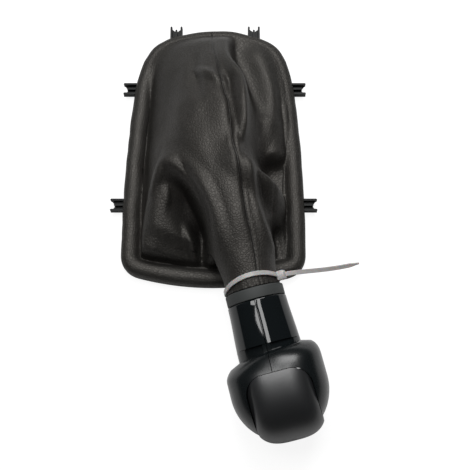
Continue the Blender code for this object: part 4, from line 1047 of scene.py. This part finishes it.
def withTree(thing, tree, values):
    modifier = thing.modifiers.new("made", "NODES")
    modifier.node_group = tree
    named = {item.name: item.identifier for item in tree.interface.items_tree
             if item.in_out == "INPUT"}
    for name, value in values.items():
        modifier[named[name]] = value
    bpy.context.view_layer.update()
    evaluated = thing.evaluated_get(bpy.context.evaluated_depsgraph_get())
    mesh = bpy.data.meshes.new_from_object(evaluated)
    made = bpy.data.objects.new(thing.name, mesh)
    bpy.context.scene.collection.objects.link(made)
    bpy.data.objects.remove(thing)
    return made


def tieHead(centre, outward, onward):
    across, tall, deep = tie["head"]
    rings = []
    for up, inset in tie["headLevels"]:
        scale = 0.5 * (1 - inset)
        rings.append([centre + onward * x * across * scale + axial * y * deep * scale
                      + outward * up * tall for x, y in tie["headCorners"]])
    return loft("tieHead", rings)


def tieTail(handles, half, high):
    # the free end, twisting and thinning to its tip, and the places of its teeth
    tail, spine = [], []
    for i in range(tie["tailSteps"] + 1):
        t = i / tie["tailSteps"]
        here = bezier(*handles, t)
        before, after = bezier(*handles, max(t - 0.01, 0)), bezier(*handles, min(t + 0.01, 1))
        onto = (after - before).normalized()
        width = Matrix.Rotation(math.radians(tie["twist"]) * t, 3, onto) @ axial
        across = onto.cross(width).normalized()
        width = across.cross(onto)
        taper = 1.0 - tie["tipTaper"] * float(smoothStep(t, 0.9, 1.0))
        w, h = half * taper, high * (1.0 - tie["thinning"] * t)
        tail.append([here + width * a + across * b for a, b in strapSection(w, h, 0.18 * mm)])
        if tie["toothed"][0] < t < tie["toothed"][1]:
            spine.append(here + across * h * 0.9)
    return loft("tieTail", tail), spine


def makeTie():
    inner = knob["spigotRadius"] + gaiter["skin"] + 2 * seatGap
    middle = inner + tie["thickness"] / 2
    half, high, steps = tie["width"] / 2, tie["thickness"] / 2, tie["bandSteps"]
    rings = [[tiePoint(middle + up, 360 * i / steps, across) for i in range(steps)]
             for across, up in strapSection(half, high)]
    band = loft("tieBand", rings, closed=True)

    angle = math.radians(tie["headAngle"])
    outward = Vector((math.cos(angle), math.sin(angle), 0.0))
    onward = Vector((math.sin(angle), -math.cos(angle), 0.0))
    centre = tiePoint(inner + tie["head"][1] / 2, tie["headAngle"], 0.0)
    head = tieHead(centre, outward, onward)
    tip = Vector(tie["tailTip"]) * mm
    lead = (outward + onward * tie["leadTurn"]).normalized() * tie["lead"]
    strap, spine = tieTail((centre, centre + lead, tip - Vector(tie["tipHandle"]) * mm, tip),
                           half, high)
    combined(band, [head, strap], "UNION")
    finished(band, finishes["nylon"])
    placed(band, knobAxes)
    rides(band, "tie_nylon", "cable_tie")

    curve = bpy.data.curves.new("tieTeeth", "CURVE")
    curve.dimensions = "3D"
    spline = curve.splines.new("POLY")
    spline.points.add(len(spine) - 1)
    for point, place in zip(spline.points, spine):
        point.co = (*(knobAxes @ place), 1.0)
    path = bpy.data.objects.new("tieTeeth", curve)
    bpy.context.scene.collection.objects.link(path)
    teeth = withTree(path, toothTree(), {
        "Pitch": tie["toothPitch"], "Width": tie["width"] * tie["toothShare"],
        "Height": tie["toothHeight"], "Finish": finishes["nylon"]})
    teeth.name = "tieTeeth"
    rides(teeth, "tie_nylon")
    print(f"cable tie: band, head, tail and {len(teeth.data.polygons) // 6} teeth")


# Three solids are shown as they are and only get their finish.
dressed = {"gaiter_frame": "frame", "knob_core": "core", "lever_clamp": "steel"}


def dressNodes():
    for name, finish in dressed.items():
        mesh = nodes[name].data
        mesh.materials.clear()
        mesh.materials.append(finishes[finish])
    print("frame, core and clamp dressed")


makeShells()
makeCap()
makeCollar()
makeGaiter()
makeTie()
dressNodes()


studio = {
    "floor": 3.0, "floorDrop": 0.2 * mm, "floorTone": colour(0.86, 0.86, 0.86),
    "floorRoughness": 0.9, "floorGlow": 0.74, "glowStrength": 1.22, "fill": 0.018,
    "lamps": {                           # place, size, power, and the point each faces
        "rear": ((0.05, 0.60, 0.85), (0.60, 0.50), 7.6, (0.05, 0.30, 0.0)),
        "wideWindow": ((-0.30, 0.14, 0.90), (0.34, 0.28), 2.2, (-0.30, 0.14, 0.0)),
        "narrowWindow": ((0.03, 0.14, 0.90), (0.17, 0.28), 1.1, (0.03, 0.14, 0.0)),
    },
    "cameraPlace": (0.01328, -0.10453, 0.46306), "cameraTilt": 16.0,
    "lens": 58.98, "sensor": 36.0,
}


def makeFloor():
    half = studio["floor"]
    corners = [(x * half, y * half, 0) for x, y in ((-1, -1), (1, -1), (1, 1), (-1, 1))]
    floor = addPiece("floor", corners, [(0, 1, 2, 3)])
    placed(floor, Matrix.Translation((0, 0, -studio["floorDrop"])))
    material = bpy.data.materials.new("floorPaper")
    material.use_nodes = True
    g = Graph(material.node_tree)
    plain = material.node_tree.nodes["Principled BSDF"]
    plain.inputs["Base Color"].default_value = studio["floorTone"]
    plain.inputs["Roughness"].default_value = studio["floorRoughness"]
    plain.inputs["Specular IOR Level"].default_value = 0.1
    glow = g.node("ShaderNodeEmission", None,
                  {"Color": colour(1, 1, 1), "Strength": studio["glowStrength"]})
    seen = g.node("ShaderNodeLightPath", out="Is Camera Ray") * studio["floorGlow"]
    both = g.node("ShaderNodeMixShader", None, [seen, Wire(g, plain.outputs[0]), glow])
    end = material.node_tree.nodes["Material Output"]
    material.node_tree.links.new(both.socket, end.inputs["Surface"])
    floor.data.materials.append(material)


def addLamp(name, place, target, size, power):
    lamp = bpy.data.lights.new(name, "AREA")
    lamp.shape = "RECTANGLE"
    lamp.size, lamp.size_y = size
    lamp.energy = power
    thing = bpy.data.objects.new(name, lamp)
    bpy.context.scene.collection.objects.link(thing)
    thing.location = place
    thing.rotation_euler = (Vector(target) - Vector(place)).to_track_quat("-Z", "Y").to_euler()


def makeStage():
    makeFloor()
    world = bpy.data.worlds.new("studio")
    bpy.context.scene.world = world
    world.use_nodes = True
    backdrop = world.node_tree.nodes["Background"]
    backdrop.inputs["Color"].default_value = colour(1, 1, 1)
    seen = Graph(world.node_tree).node("ShaderNodeLightPath", out="Is Camera Ray")
    bright = seen * (1 - studio["fill"]) + studio["fill"]      # white to the camera, a faint light
    world.node_tree.links.new(bright.socket, backdrop.inputs["Strength"])
    for name, (place, size, power, target) in studio["lamps"].items():
        addLamp(name, place, target, size, power)
    lens = bpy.data.cameras.new("camera")
    lens.lens, lens.sensor_width = studio["lens"], studio["sensor"]
    camera = bpy.data.objects.new("camera", lens)
    bpy.context.scene.collection.objects.link(camera)
    camera.location = studio["cameraPlace"]
    camera.rotation_euler = (math.radians(studio["cameraTilt"]), 0.0, 0.0)
    bpy.context.scene.camera = camera
    bpy.context.scene.view_settings.view_transform = "Standard"
    print("stage, lamps and camera set")


makeStage()
